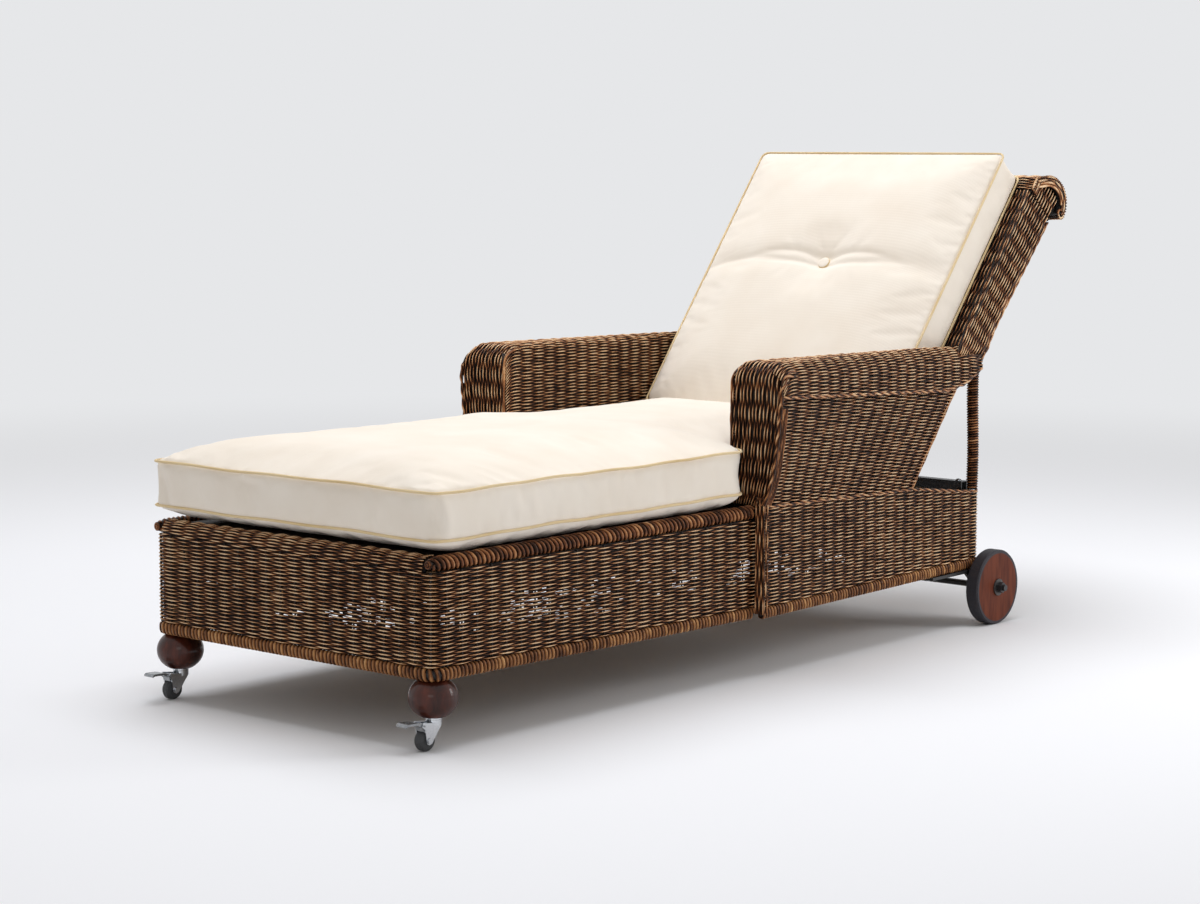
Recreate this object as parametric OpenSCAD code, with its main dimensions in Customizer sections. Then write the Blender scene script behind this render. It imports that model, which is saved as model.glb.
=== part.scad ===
// Woven wicker chaise with loose cushions, two braked casters at the foot and two wheels at the head.
// The foot end points along -Y and the head end along +Y. The origin is on the floor, under the middle
// of the whole object. Left and right are those of someone lying in it, so left is +X.

/* [Base] */
// Width of the foot section over the weave
foot_w = 684; // [620:1:750]
// Length of the foot section, from the foot end to the front of the arms
foot_len = 835; // [750:1:920]
// Length of the chair section, from the front of the arms to the head end
chair_len = 759; // [690:1:830]
// How far each side of the chair section stands out beyond the foot section, at the front of the arms
chair_out = 18; // [16:1:38]
// How far each side of the chair section stands in from the foot section's side, at the head end
chair_in = 6; // [0:1:10]
// Height of the underside of the base above the floor at its two ends
under_z = 115; // [105:1:125]
// How far the bottom border sags between the two ends
border_sag = 6; // [0:1:15]
// Height of the top of the base above the floor
base_top = 317; // [300:1:340]
// Thickness of a woven panel
weave_t = 10; // [8:1:12]
// Distance between the upright stakes that the strands go round
stake_pitch = 35; // [28:1:42]
// Depth of the hollows between the stakes of the side panels and the scroll
stake_relief = 2.6; // [0:0.2:3.4]
// Height of the wrapped bottom border
border_h = 22; // [18:1:26]
// Thickness of the wrapped bottom border
border_t = 16; // [14:1:18]
// Diameter of the wrapped rim on each side of the foot section
rim_d = 26; // [24:1:28]
// Radius of the rounded corners of the base
corner_r = 26; // [25:1:28]
// Radius of the roll along the top of the foot end
roll_r = 20; // [16:1:24]
// How far the chair section's top edge has dropped where it meets the back's rear face
shoulder_drop = 16; // [7:1:19]

/* [Frame] */
// Width and height of a frame rail
rail_s = 28; // [24:1:30]
// Distance of the side rails' outer faces inside the foot section's sides
rail_in = 16; // [16:1:26]
// Thickness of a seat slat
slat_t = 22; // [18:1:24]
// Width of a seat slat
slat_w = 60; // [50:1:70]
// Number of seat slats
slat_count = 10; // [8:1:11]
// Width of the wrapped post at the front of each arm
front_post_w = 20; // [16:1:26]
// Diameter of the wrapped post at each head corner
rear_post_d = 26; // [22:1:28]
// Inset of the rear posts' axes from the head end
rear_post_inset = 19; // [16:1:24]
// Inset of the rear posts' axes from the chair section's sides
rear_post_side = 16; // [14:1:24]

/* [Cross bar] */
// Width and height of the steel cross bar
bar_s = 20; // [16:1:22]
// Wall of the steel cross bar
bar_wall = 2; // [1.5:0.5:3]
// Distance of the cross bar's middle from the head end
bar_inset = 50; // [46:1:70]
// Diameter of the cross bar's bolts
bar_bolt_d = 8; // [6:1:10]

/* [Arms] */
// Distance of an arm's inner face inside the foot section's side, at the arm's front
arm_over_front = 63; // [52:1:67]
// Distance of an arm's inner face inside the foot section's side, at the head end
arm_over_head = 20; // [18:1:26]
// How far an arm's outer face stands out beyond the chair section at the arm's front
arm_lean_front = 39; // [30:1:50]
// How far an arm's outer face stands out beyond the chair section at the head end
arm_lean_head = 15; // [11:1:22]
// Height of the arm's top over the base
arm_rise = 261; // [243:1:283]
// Height of the arm's top over the lip under its outer roll, at the front
lip_front_drop = 66; // [58:1:78]
// Height of the arm's top over the lip where it is lowest, three quarters of the way back
lip_low_drop = 94; // [88:1:100]
// Height of the arm's top over its underside at its rear end
lip_rear_drop = 52; // [43:1:63]
// Radius of the arm's outer top edge
arm_out_r = 36; // [30:1:38]
// Radius of the arm's inner top edge
arm_in_r = 22; // [16:1:26]
// Radius over which the arm's front turns into its top
arm_front_r = 42; // [30:1:50]

/* [Back] */
// Angle of the back from upright
recline = 38.5; // [34:0.5:42]
// Distance of the back's foot from the head end, on the deck
back_inset = 302; // [294:1:314]
// Length of the back from the deck to the scroll
back_len = 731; // [700:1:760]
// How far each side of the back stands out beyond the chair section's head end
back_out = 3; // [-6:1:3]
// Depth of the back at its foot
back_depth_foot = 45; // [42:1:50]
// Depth of the back at the arms' height
back_depth_arm = 80; // [70:1:90]
// Depth of the back under the scroll
back_depth_top = 106; // [95:1:115]
// Distance up the back at which it starts to deepen
back_bend_low = 255; // [240:1:262]
// Distance up the back to the second bend, above the arms
back_bend_high = 379; // [360:1:400]
// How far the scroll stands out beyond each side of the back
scroll_over = 8; // [4:1:12]
// Height of the scroll over the top of the back's front edge
scroll_rise = 24; // [18:1:30]
// Radius of the scroll's curl, front to rear
scroll_ry = 72; // [66:1:78]
// Radius of the scroll's curl, up and down
scroll_rz = 59; // [54:1:64]
// Radius of the scroll's lower lip
scroll_lip_r = 16; // [12:1:18]

/* [Cushions] */
// Gap kept between a cushion and what it lies on or beside
soft_gap = 0.3; // [0.3:0.1:2]
// Distance of the seat cushion's sides inside the foot section's sides
seat_in = 0; // [-8:1:30]
// Gap between the seat cushion's tail and an arm, at the arm's front
tail_gap = 4; // [2:1:25]
// Distance of the seat cushion's front from the foot end
seat_front = 4; // [0:1:20]
// Gap between the seat cushion's ears and the arms
ear_gap = 18; // [8:1:40]
// Radius of the ears' corners
ear_r = 40; // [25:1:60]
// How far the seat cushion's tail reaches past the foot of the back, under the slope
tail_over = 14; // [0:1:16]
// Height from one piping of the seat cushion to the other
seat_box = 77; // [60:1:90]
// How far the seat cushion's underside swells below its lower piping
seat_belly = 34; // [10:1:40]
// How far the seat cushion's top swells above its upper piping
seat_crown = 44; // [20:1:60]
// How full the seat cushion is at its edges
seat_fill = 9; // [3:1:12]
// How far the boxing draws in between the pipings
box_draw = 5; // [2:1:8]
// Width of the back's margin on each side of the back cushion
pad_margin = 31; // [29:1:60]
// How much further in each side of the back cushion is at its lower edge
pad_taper = 7; // [5:1:20]
// Distance up the back to the back cushion's lower edge
pad_low = 98; // [96:1:110]
// Distance up the back to the back cushion's upper edge
pad_high = 758; // [700:1:765]
// Depth of the back cushion from one piping to the other
pad_box = 74; // [60:1:85]
// How far the back cushion's rear face swells towards the back
pad_belly = 5; // [3:1:10]
// How far the back cushion's front swells out
pad_crown = 34; // [20:1:45]
// Distance up the back to the tuft
tuft_at = 460; // [400:1:520]
// Depth of the tuft's dimple
tuft_depth = 24; // [10:1:26]
// Depth of the crease across the cushion at the tuft
crease_depth = 9; // [0:1:14]
// Diameter of a tuft button
button_d = 26; // [18:1:32]
// Thickness of a tuft button
button_t = 7; // [5:1:9]

/* [Feet and casters] */
// Diameter of a ball foot
ball_d = 82; // [70:1:90]
// Height of a ball foot's widest level above the floor
ball_z = 85; // [82:1:88]
// Half height of a ball foot, before its top and bottom are cut flat
ball_half = 36; // [33:1:38]
// Height of a ball foot's flat underside above the floor
ball_low = 54; // [53:1:60]
// Distance of a ball foot's axis from the foot end and from the side
ball_inset = 33; // [30:1:40]
// Diameter of a caster's wheel
caster_d = 36; // [30:1:38]
// Width of a caster's wheel
caster_w = 17; // [14:1:20]
// Distance from a caster's swivel axis to its wheel's axle
caster_trail = 20; // [18:1:24]
// Diameter of a caster's wheel axle
caster_axle_d = 6; // [5:0.5:7]
// Diameter of a caster's stem
stem_d = 9.5; // [8:0.5:11]
// How far the stem reaches into the ball foot
stem_in = 36; // [25:1:45]
// Diameter of the stem's collar under the ball foot
collar_d = 28; // [24:1:32]
// Thickness of the stem's collar
collar_t = 4; // [3:0.5:5]
// Thickness of a caster fork's cheek
cheek_t = 2.5; // [2:0.5:3]
// Height of a caster fork's crown
crown_t = 9; // [8:0.5:10]
// Distance of a brake lever's tip from the swivel axis
lever_reach = 72; // [66:1:80]
// Width of a brake lever's pedal
pedal_w = 24; // [18:1:28]

/* [Rear wheels] */
// Diameter of a rear wheel over its tyre
wheel_d = 152; // [140:1:160]
// Thickness of a rear wheel
wheel_t = 28; // [24:1:30]
// Thickness of a rear wheel's tyre
tyre_t = 7; // [5:1:10]
// Distance of a rear wheel's inner face outside the chair section's head end
wheel_gap = 7; // [6:1:14]
// Distance of the axle behind the head end
axle_back = 12; // [5:1:20]
// Diameter of the axle
axle_d = 12.7; // [10:0.1:14]
// Diameter of a washer
washer_d = 34; // [28:1:38]
// Thickness of a washer
washer_t = 2.5; // [1.5:0.5:3]
// Width of an axle nut across its flats
nut_s = 19; // [17:1:22]
// Height of an axle nut
nut_h = 10; // [8:1:14]
// Thickness of the axle brackets' steel
bracket_t = 6; // [5:1:8]
// Length of the axle brackets' straps under the base
bracket_len = 190; // [140:1:220]
// Width of the axle brackets' straps
strap_w = 34; // [32:1:40]
// Diameter of the bolts that hold the brackets to the side rails
bracket_bolt_d = 6; // [5:1:8]

/* [Fits] */
// Clearance between the back's panels and the scroll over them
weave_gap = 0.02; // [0.01:0.01:0.1]
// Radial running clearance of a shaft in its bore
run_gap = 0.05; // [0.03:0.01:0.08]
// Gap between a turning piece and the face beside it
side_gap = 0.3; // [0.2:0.1:0.6]
// Radial clearance of a bolt in its hole
bolt_gap = 0.2; // [0.1:0.05:0.4]

/* [Hidden] */

wicker = "#5b3a22";
border_tan = "#8a6036";
pole_wood = "#a3805a";
cream = "#f0e8d8";
walnut = "#3a2320";
chrome = "#c9ccd0";
steel = "#8d9094";
black = "#1d1c1e";
wheel_wood = "#6b3f2c";
rubber = "#26242a";

$fn = 64;
eps = 0.1;

base_len = foot_len + chair_len;
back_foot = base_len - back_inset;
deck_top = base_top - weave_t;
slat_top = deck_top - weave_t;
slat_pitch = (back_foot - rail_s - 36 - slat_w) / (slat_count - 1);
rail_top = slat_top - slat_t;
foot_half = foot_w / 2;
chair_w_front = foot_w + 2 * chair_out;
chair_w_head = foot_w - 2 * chair_in;
shoulder_z = base_top - shoulder_drop;
rail_x = foot_half - rail_in;
rear_post_x = chair_w_head / 2 - rear_post_side;
bar_bolt_x = rail_x - rail_s / 2;
arm_in_front = foot_half - arm_over_front;
arm_in_head = foot_half - arm_over_head;
arm_out_front = chair_w_front / 2 + arm_lean_front;
arm_out_head = chair_w_head / 2 + arm_lean_head;
arm_top_z = base_top + arm_rise;
lip_front_z = arm_top_z - lip_front_drop;
lip_low_z = arm_top_z - lip_low_drop;
lip_rear_z = arm_top_z - lip_rear_drop;
back_w = chair_w_head + 2 * back_out;
seat_w = foot_w - 2 * seat_in;
seat_tail_w = 2 * (arm_in_front - tail_gap);
pad_w = back_w - 2 * pad_margin;
pad_w_low = pad_w - 2 * pad_taper;
wheel_x = chair_w_head / 2 + wheel_gap;
taper = atan((chair_w_front - chair_w_head) / 2 / chair_len);
deck_half = foot_half - rim_d;

// Half width of the chair section at a distance from the foot end
function chair_half(s) = chair_w_front / 2 - (s - foot_len) * tan(taper);

// Height of the border's underside in the chair section, and of the side's top edge under the arm
function border_low(s) = under_z - border_sag * (base_len - corner_r - s) / (chair_len - corner_r);
function side_top(s) =
    base_top - shoulder_drop * (s - foot_len - weave_t) / (panel_rear_low - foot_len - weave_t);

// Distance of an arm's inner and outer faces from the middle, at a distance from the foot end
function arm_in(s) = arm_in_front + (arm_in_head - arm_in_front) * (s - foot_len) / chair_len;
function arm_out(s) = arm_out_front + (arm_out_head - arm_out_front) * (s - foot_len) / chair_len;
arm_taper = atan((arm_in_head - arm_in_front) / chair_len);

// Distance from the foot end of the back's front plane at a height, and of a point on the back
function back_plane(z) = back_foot + (z - deck_top) * tan(recline);
function back_point(n, d) = [back_foot + n * cos(recline) + d * sin(recline),
                             deck_top - n * sin(recline) + d * cos(recline)];

// Outline of the back's rear face, each point a depth behind the front plane and a distance up it
rear_low = [back_depth_foot, 30];
rear_bend = [back_depth_foot + 2, back_bend_low];
rear_high = [back_depth_arm, back_bend_high];
rear_top = [back_depth_top, back_len];
back_half = back_w / 2;
panel_half = back_half - weave_t;
scroll_foot = back_point(0, back_len);
scroll_heel = back_point(back_depth_top, back_len);
scroll_mid = [scroll_heel[0] - 18, scroll_foot[1] + scroll_rise + 3 - scroll_rz];

// Reach of the brake levers in front of the foot end, and of the scroll behind the head end
foot_reach = lever_reach - ball_inset;
head_reach = scroll_mid[0] + scroll_ry - base_len;
foot_y = -(base_len + head_reach - foot_reach) / 2;

// Distance of the lowest point of the arm's lip from the foot end, and of the arm's rear end
lip_low_s = foot_len + chair_len * 0.78;
arm_end_s = base_len - 10;
panel_rear_low = back_point(back_depth_foot, 0)[0] + weave_t;
panel_rear_top = back_point(rear_bend[0], rear_bend[1]);
chair_side_s = front_post_w + weave_t * tan(taper) + eps / 2;

ball_x = foot_half - ball_inset;
wheel_r = wheel_d / 2;
axle_z = wheel_r;
axle_s = base_len + axle_back;
bracket_x = wheel_x - side_gap - washer_t - bracket_t;
strap_s = axle_s - bracket_len;
bracket_bolt_x = rail_x - strap_w * 0.3;
bracket_bolt_s = [strap_s + strap_w * 0.53, base_len - strap_w * 1.88];
axle_half = wheel_x + wheel_t + side_gap + washer_t + nut_h + 6;

caster_r = caster_d / 2;
crown_top = ball_low - collar_t - side_gap;
crown_low = crown_top - crown_t;
cheek_in = caster_w / 2 + 2 * side_gap;
cheek_out = cheek_in + cheek_t;
lever_pin = [-caster_trail - 12, crown_low + 3];
lever_pin_d = 3;

module at_foot() translate([0, foot_y, 0]) children();
module in_back() translate([0, back_foot, deck_top]) rotate([-recline, 0, 0]) children();
module both_sides() { children(); mirror([1, 0, 0]) children(); }
module on_side(side) mirror([side < 0 ? 1 : 0, 0, 0]) children();

// Turns an outline drawn as [distance along Y, height] into a plate from x0, w thick along X
module side_plate(x0, w) translate([x0, 0, 0]) rotate([90, 0, 90]) linear_extrude(w) children();

// Turns an outline drawn as [x, height] into a plate from s0, w thick along Y
module cross_plate(s0, w) translate([0, s0 + w, 0]) rotate([90, 0, 0]) linear_extrude(w) children();

// A band t thick along the foot end of a base with this half width, round both its corners
module end_band(half, t, low, high)
    translate([0, 0, low]) linear_extrude(high - low) intersection() {
        difference() {
            end_plan(half, corner_r, 0);
            end_plan(half, corner_r - t, t);
        }
        translate([-half, 0]) square([2 * half, corner_r]);
    }

module end_plan(half, r, y) {
    for (x = [corner_r - half, half - corner_r]) translate([x, corner_r]) circle(r = r);
    translate([corner_r - half, y]) square([2 * (half - corner_r), corner_r + 1]);
}

module at_head_end() translate([0, base_len, 0]) mirror([0, 1, 0]) children();

// Poles that stand in the rounded corners
module corner_poles(low, foot_top, head_top) {
    translate([foot_half - corner_r, corner_r, low]) cylinder(r = corner_r - border_t, h = foot_top - low);
    translate([chair_w_head / 2 - corner_r, base_len - corner_r, low])
        cylinder(r = corner_r - border_t, h = head_top - low);
}

function arc(cx, cy, r, a0, a1, n) =
    [for (i = [0 : n]) [cx + r * cos(a0 + (a1 - a0) * i / n), cy + r * sin(a0 + (a1 - a0) * i / n)]];

// Woven panels of the base
module foot_apron() color(wicker) at_foot() {
    end_band(foot_half, weave_t, under_z + border_h, base_top - rim_d);
    side_plate(-deck_half, 2 * deck_half) polygon(concat(
        [[weave_t, base_top - rim_d - eps], [0, base_top - rim_d - eps]],
        arc(roll_r, base_top - roll_r, roll_r, 180, 90, 6),
        [[roll_r + 8, base_top], [roll_r + 8, deck_top]],
        arc(roll_r, base_top - roll_r, roll_r - weave_t, 90, 180, 4)));
}

module head_apron() color(wicker) at_foot() at_head_end()
    end_band(chair_w_head / 2, weave_t, under_z + border_h, rail_top);

module foot_side(side) color(wicker) at_foot() on_side(side)
    side_plate(foot_half - weave_t, weave_t)
    polygon([[corner_r, under_z + border_h], [2 * ball_inset, under_z + border_h],
             [foot_len, under_z + border_h - border_sag], [foot_len, base_top - rim_d],
             [corner_r, base_top - rim_d]]);

module chair_side(side) color(wicker) at_foot() on_side(side)
    translate([chair_w_front / 2, foot_len, 0]) rotate([0, 0, taper])
    side_plate(-weave_t, weave_t)
    polygon([[chair_side_s, border_low(foot_len + chair_side_s) + border_h],
             [chair_len - corner_r, under_z + border_h], [chair_len - corner_r, rail_top],
             [chair_len - rear_post_inset - rear_post_d / 2, rail_top],
             [panel_rear_low - foot_len, shoulder_z],
             [chair_side_s, side_top(foot_len + chair_side_s)]]);

module side_rim(side) color(border_tan) at_foot() on_side(side) {
    translate([foot_half - rim_d / 2, rim_d / 2, base_top - rim_d / 2]) {
        sphere(d = rim_d);
        rotate([-90, 0, 0]) cylinder(d = rim_d, h = foot_len - rim_d / 2);
    }
}

module end_borders() color(border_tan) at_foot() {
    end_band(foot_half, border_t, under_z, under_z + border_h);
    at_head_end() end_band(chair_w_head / 2, border_t, under_z, under_z + border_h);
}

module border_side(side) color(border_tan) at_foot() on_side(side) {
    side_plate(foot_half - border_t, border_t)
        polygon([[corner_r, under_z], [2 * ball_inset, under_z], [foot_len, under_z - border_sag],
                 [foot_len, under_z + border_h - border_sag], [2 * ball_inset, under_z + border_h],
                 [corner_r, under_z + border_h]]);
    translate([chair_w_front / 2, foot_len, 0]) rotate([0, 0, taper]) side_plate(-border_t, border_t)
        polygon([[0, under_z - border_sag], [chair_len - corner_r, under_z],
                 [chair_len - corner_r, under_z + border_h], [0, under_z + border_h - border_sag]]);
}

// Frame inside the weave
module front_posts() color(wicker) at_foot() both_sides()
    translate([0, foot_len, 0]) side_plate(foot_half - weave_t, chair_out + weave_t)
    polygon([[0, border_low(foot_len + front_post_w) + border_h],
             [front_post_w, border_low(foot_len + front_post_w) + border_h],
             [front_post_w, side_top(foot_len + front_post_w)], [weave_t, base_top], [0, base_top]]);

module corner_posts() color(wicker) at_foot() both_sides()
    corner_poles(under_z, base_top - rim_d, rail_top);

module deck_weave() color(wicker) at_foot()
    translate([-deck_half, roll_r, slat_top]) cube([2 * deck_half, back_foot - roll_r, weave_t]);

module seat_slats() color(pole_wood) at_foot()
    for (i = [0 : slat_count - 1])
        translate([-deck_half, rail_s + 12 + i * slat_pitch, rail_top]) cube([2 * deck_half, slat_w, slat_t]);

module centre_beam() color(pole_wood) at_foot()
    translate([-rail_s / 2, weave_t + rail_s, rail_top - rail_s])
    cube([rail_s, base_len - 2 * weave_t - 2 * rail_s, rail_s]);

module side_rail(side) color(pole_wood) at_foot() on_side(side) difference() {
    for (z = [under_z + border_h, rail_top - rail_s])
        translate([rail_x - rail_s, corner_r, z]) cube([rail_s, base_len - 2 * corner_r, rail_s]);
    corner_poles(under_z, base_top, base_top);
    bracket_bolt_holes(bracket_bolt_d);
    translate([bar_bolt_x, base_len - bar_inset, rail_top - 20])
        cylinder(d = bar_bolt_d + 2 * bolt_gap, h = 30);
}

module end_rails() color(pole_wood) at_foot()
    for (s = [weave_t, base_len - weave_t - rail_s])
        for (z = [under_z + border_h, rail_top - rail_s])
            translate([-rail_x + rail_s, s, z]) cube([2 * (rail_x - rail_s), rail_s, rail_s]);

module rear_post(side) color(wicker) at_foot() on_side(side) difference() {
    translate([rear_post_x, base_len - rear_post_inset, rail_top])
        cylinder(d = rear_post_d, h = arm_top_z - rail_top);
    in_back() side_plate(-back_half, back_w) polygon(back_outline());
}

module cross_bar() color(black) at_foot() difference() {
    translate([-rail_x, base_len - bar_inset - bar_s / 2, rail_top]) cube([2 * rail_x, bar_s, bar_s]);
    translate([-rail_x - 1, base_len - bar_inset - bar_s / 2 + bar_wall, rail_top + bar_wall])
        cube([2 * rail_x + 2, bar_s - 2 * bar_wall, bar_s - 2 * bar_wall]);
    both_sides() translate([bar_bolt_x, base_len - bar_inset, rail_top - 1])
        cylinder(d = bar_bolt_d + 2 * bolt_gap, h = bar_s + 2);
}

module cross_bar_bolts() color(steel) at_foot() both_sides()
    translate([bar_bolt_x, base_len - bar_inset, rail_top - 20]) {
        cylinder(d = bar_bolt_d, h = 20 + bar_s);
        translate([0, 0, 20 + bar_s]) intersection() {
            cylinder(r = bar_bolt_d * 0.9, h = bar_bolt_d * 0.6);
            translate([0, 0, -bar_bolt_d * 0.5]) sphere(r = bar_bolt_d * 1.03);
        }
    }

// A panel between a lower and an upper edge, each given by its two ends on the outer face. Its outer face
// stands out at the even stations, where a stake is, and is hollow at the odd ones.
module ruled_panel(low, high, t, n) {
    function at(e, i) = e[0] + (e[1] - e[0]) * i / n;
    function face(e, i) = at(e, i) - [i % 2 * stake_relief, 0, 0];
    pts = [for (i = [0 : n]) each
        [face(low, i), face(high, i), at(high, i) - [t, 0, 0], at(low, i) - [t, 0, 0]]];
    sides = [for (i = [0 : n - 1], k = [0 : 3]) each
        let (a = 4 * i + k, b = 4 * i + (k + 1) % 4) [[a, b + 4, a + 4], [a, b, b + 4]]];
    ends = [[0, 2, 1], [0, 3, 2], [4 * n + 2, 4 * n, 4 * n + 1], [4 * n + 3, 4 * n, 4 * n + 2]];
    polyhedron(points = pts, faces = concat(sides, ends));
}

module side_panel(side) color(wicker) at_foot() on_side(side) difference() {
    front_s = foot_len + weave_t;
    rear_x = chair_half(panel_rear_top[0]) + 4;
    ruled_panel(
        [[chair_half(front_s) - eps, front_s, base_top],
         [chair_half(panel_rear_low) - eps, panel_rear_low, shoulder_z]],
        [[arm_out_front - weave_t - 1, front_s, lip_front_z + 4],
         [rear_x, panel_rear_top[0], panel_rear_top[1] + 10]],
        weave_t, 2 * round((panel_rear_top[0] - front_s) / stake_pitch));
    arm_skin();
}

module arm_front(side) color(wicker) at_foot() on_side(side)
    cross_plate(foot_len, weave_t)
    polygon([[arm_in_front, deck_top], [deck_half, deck_top], [deck_half, base_top],
             [chair_w_front / 2, base_top], [chair_w_front / 2 + 9, base_top + 18],
             [chair_w_front / 2 + 22, base_top + 60], [arm_out_front - 8, lip_front_z - 78],
             [arm_out_front, lip_front_z - 1], [arm_in_front, lip_front_z - 1]]);

module arm_inner(side) color(wicker) at_foot() on_side(side)
    translate([arm_in_front, foot_len, 0]) rotate([0, 0, -arm_taper])
    side_plate(0, weave_t)
    polygon([[weave_t + 1, deck_top], [arm_run(deck_top), deck_top],
             [arm_run(lip_low_z), lip_low_z], [weave_t + 1, lip_front_z - 1]]);

// Distance along the arm's inner face at which it meets the back's front plane
function arm_run(z) = (back_plane(z) - foot_len) / cos(arm_taper) - 7;

// One slice across the arm, g inside its outer surface, from lip height to top height
module arm_slice(s, lip, top, g) {
    x0 = arm_in(s) + g;
    x1 = arm_out(s) - g;
    low = lip - 3 * g;
    ri = min(arm_in_r - g / 2, (x1 - x0) * 0.4);
    ro = min(arm_out_r - g / 2, x1 - x0 - ri);
    edge = concat(arc(x1 - ro, top - g - ro, ro, 0, 90, 9), arc(x0 + ri, top - g - ri, ri, 90, 180, 7));
    cross_plate(s, eps) polygon(concat([[x0, low], [x1, low]], [for (q = edge) [q[0], max(q[1], low + 1)]]));
}

module arm_body(g) {
    stations = [
        [foot_len + g, lip_front_z, arm_top_z - arm_front_r],
        [foot_len + g + arm_front_r * 0.3, lip_front_z - 1, arm_top_z - arm_front_r * 0.29],
        [foot_len + g + arm_front_r, lip_front_z - 2, arm_top_z],
        [lip_low_s, lip_low_z, arm_top_z - 4],
        [lip_low_s + 72, lip_low_z + 9, arm_top_z - 6],
        [arm_end_s - g, lip_rear_z, arm_top_z - 12]
    ];
    hull() for (p = stations) arm_slice(p[0], p[1], p[2], g);
}

module arm_skin() difference() {
    arm_body(0);
    arm_body(weave_t);
}

module arm_top(side) color(wicker) at_foot() on_side(side) difference() {
    arm_skin();
    in_back() translate([-back_half, -eps / 10, -100]) cube([back_w, 500, 1000]);
}

// The back
function back_outline() = [[0, 0], [rear_low[0], 0], rear_bend, rear_high, rear_top, [0, back_len]];

module back_front() color(wicker) at_foot() in_back()
    translate([-panel_half, 0, 0]) cube([2 * panel_half, weave_t, back_len]);

module back_rear() color(wicker) at_foot() in_back()
    side_plate(-panel_half, 2 * panel_half)
    polygon([rear_low, rear_bend, rear_high, rear_top - [0, weave_gap], rear_top - [weave_t, weave_gap],
             rear_high - [weave_t, -3], rear_bend - [weave_t, -2], rear_low - [weave_t, 0]]);

module back_side(side) color(wicker) at_foot() on_side(side) in_back()
    side_plate(panel_half, weave_t)
    polygon([[0, arm_level(0)], [rear_bend[0] + 6, arm_level(rear_bend[0] + 6)],
             rear_high, rear_top - [0, weave_gap], [0, back_len - weave_gap]]);

// Distance up the back at which a point n behind its front plane is level with the arm's low lip
function arm_level(n) = (lip_low_z + 8 - deck_top + n * sin(recline)) / cos(recline);

// A bar along X with this outline, hollow by the stakes' relief at every second of n stations. The first
// two points of the outline, its flat side, stay where they are.
module staked_bar(outline, c, half, n) {
    m = len(outline);
    function drawn_in(q, i, k) = i % 2 == 0 || k < 2 ? q : q + stake_relief * (c - q) / norm(c - q);
    pts = [for (i = [0 : n], k = [0 : m - 1])
        let (q = drawn_in(outline[k], i, k)) [-half + 2 * half * i / n, q[0], q[1]]];
    sides = [for (i = [0 : n - 1], k = [0 : m - 1]) each
        let (a = m * i + k, b = m * i + (k + 1) % m) [[a, b, b + m], [a, b + m, a + m]]];
    ends = [[for (k = [m - 1 : -1 : 0]) k], [for (k = [0 : m - 1]) m * n + k]];
    polyhedron(points = pts, faces = concat(sides, ends));
}

module back_scroll() color(wicker) at_foot() {
    lip = [scroll_mid[0] + scroll_ry - scroll_lip_r - 6, scroll_heel[1] + scroll_lip_r];
    half = back_half + scroll_over;
    staked_bar(concat(
        [scroll_heel, scroll_foot,
         [scroll_foot[0] + scroll_rise * tan(recline), scroll_foot[1] + scroll_rise]],
        [for (a = [90 : -15 : -15]) scroll_mid + [scroll_ry * cos(a), scroll_rz * sin(a)]],
        arc(lip[0], lip[1], scroll_lip_r, -20, -100, 4)),
        scroll_mid, half, 2 * round(2 * half / stake_pitch));
}

module back_stiles() color(pole_wood) at_foot() both_sides() difference() {
    in_back() translate([panel_half - rail_s, weave_t, -60])
        cube([rail_s, back_depth_foot - 2 * weave_t, back_len + 60]);
    translate([0, back_foot - 200, rail_top - 200]) cube([rail_x + 20, 500, 200]);
}

module back_rails() color(pole_wood) at_foot() in_back()
    for (d = [20, back_bend_high - rail_s, back_len - rail_s])
        translate([-panel_half + rail_s, weave_t, d])
            cube([2 * (panel_half - rail_s), back_depth_foot - 2 * weave_t, rail_s]);

// Cushions. Each is a stack of closed rings between two poles, every ring with the same number of points.
module ring_solid(rings, pole_low, pole_high) {
    n = len(rings[0]);
    m = len(rings);
    pts = concat([pole_low], [for (r = rings) each r], [pole_high]);
    top = n * m + 1;
    walls = [for (j = [0 : m - 2], i = [0 : n - 1]) each
        let (a = 1 + j * n + i, b = 1 + j * n + (i + 1) % n) [[a, a + n, b + n], [a, b + n, b]]];
    caps = [for (i = [0 : n - 1]) each
        [[0, 1 + i, 1 + (i + 1) % n], [top, top - n + (i + 1) % n, top - n + i]]];
    polyhedron(points = pts, faces = concat(walls, caps));
}

// Adds points to a closed outline so that no side is longer than step
function dense(p, step) = [for (i = [0 : len(p) - 1])
    let (a = p[i], b = p[(i + 1) % len(p)], k = max(1, ceil(norm(b - a) / step)))
    for (j = [0 : k - 1]) a + (b - a) * j / k];

// An outline drawn in towards a centre by a share, then by a length
function drawn(p, c, share, inset) = [for (q = p)
    let (v = (q - c) * share, l = norm(v)) c + v * max(0.02, 1 - inset / max(l, 1))];

seat_end = back_foot + tail_over;
ear_end = foot_len - ear_gap;
seat_mid = [0, foot_len - 150];
function half_seat() = concat(
    arc(seat_w / 2 - 22, seat_front + 22, 22, -90, 0, 3),
    arc(seat_w / 2 - ear_r, ear_end - ear_r, ear_r, 0, 90, 4),
    [[seat_tail_w / 2 + 4, ear_end], [seat_tail_w / 2, ear_end + 6]],
    arc(seat_tail_w / 2 - 20, seat_end - 20, 20, 0, 90, 2));
function mirrored(p) = [for (i = [len(p) - 1 : -1 : 0]) [-p[i][0], p[i][1]]];
seat_outline = dense(concat(half_seat(), mirrored(half_seat())), 85);

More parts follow.
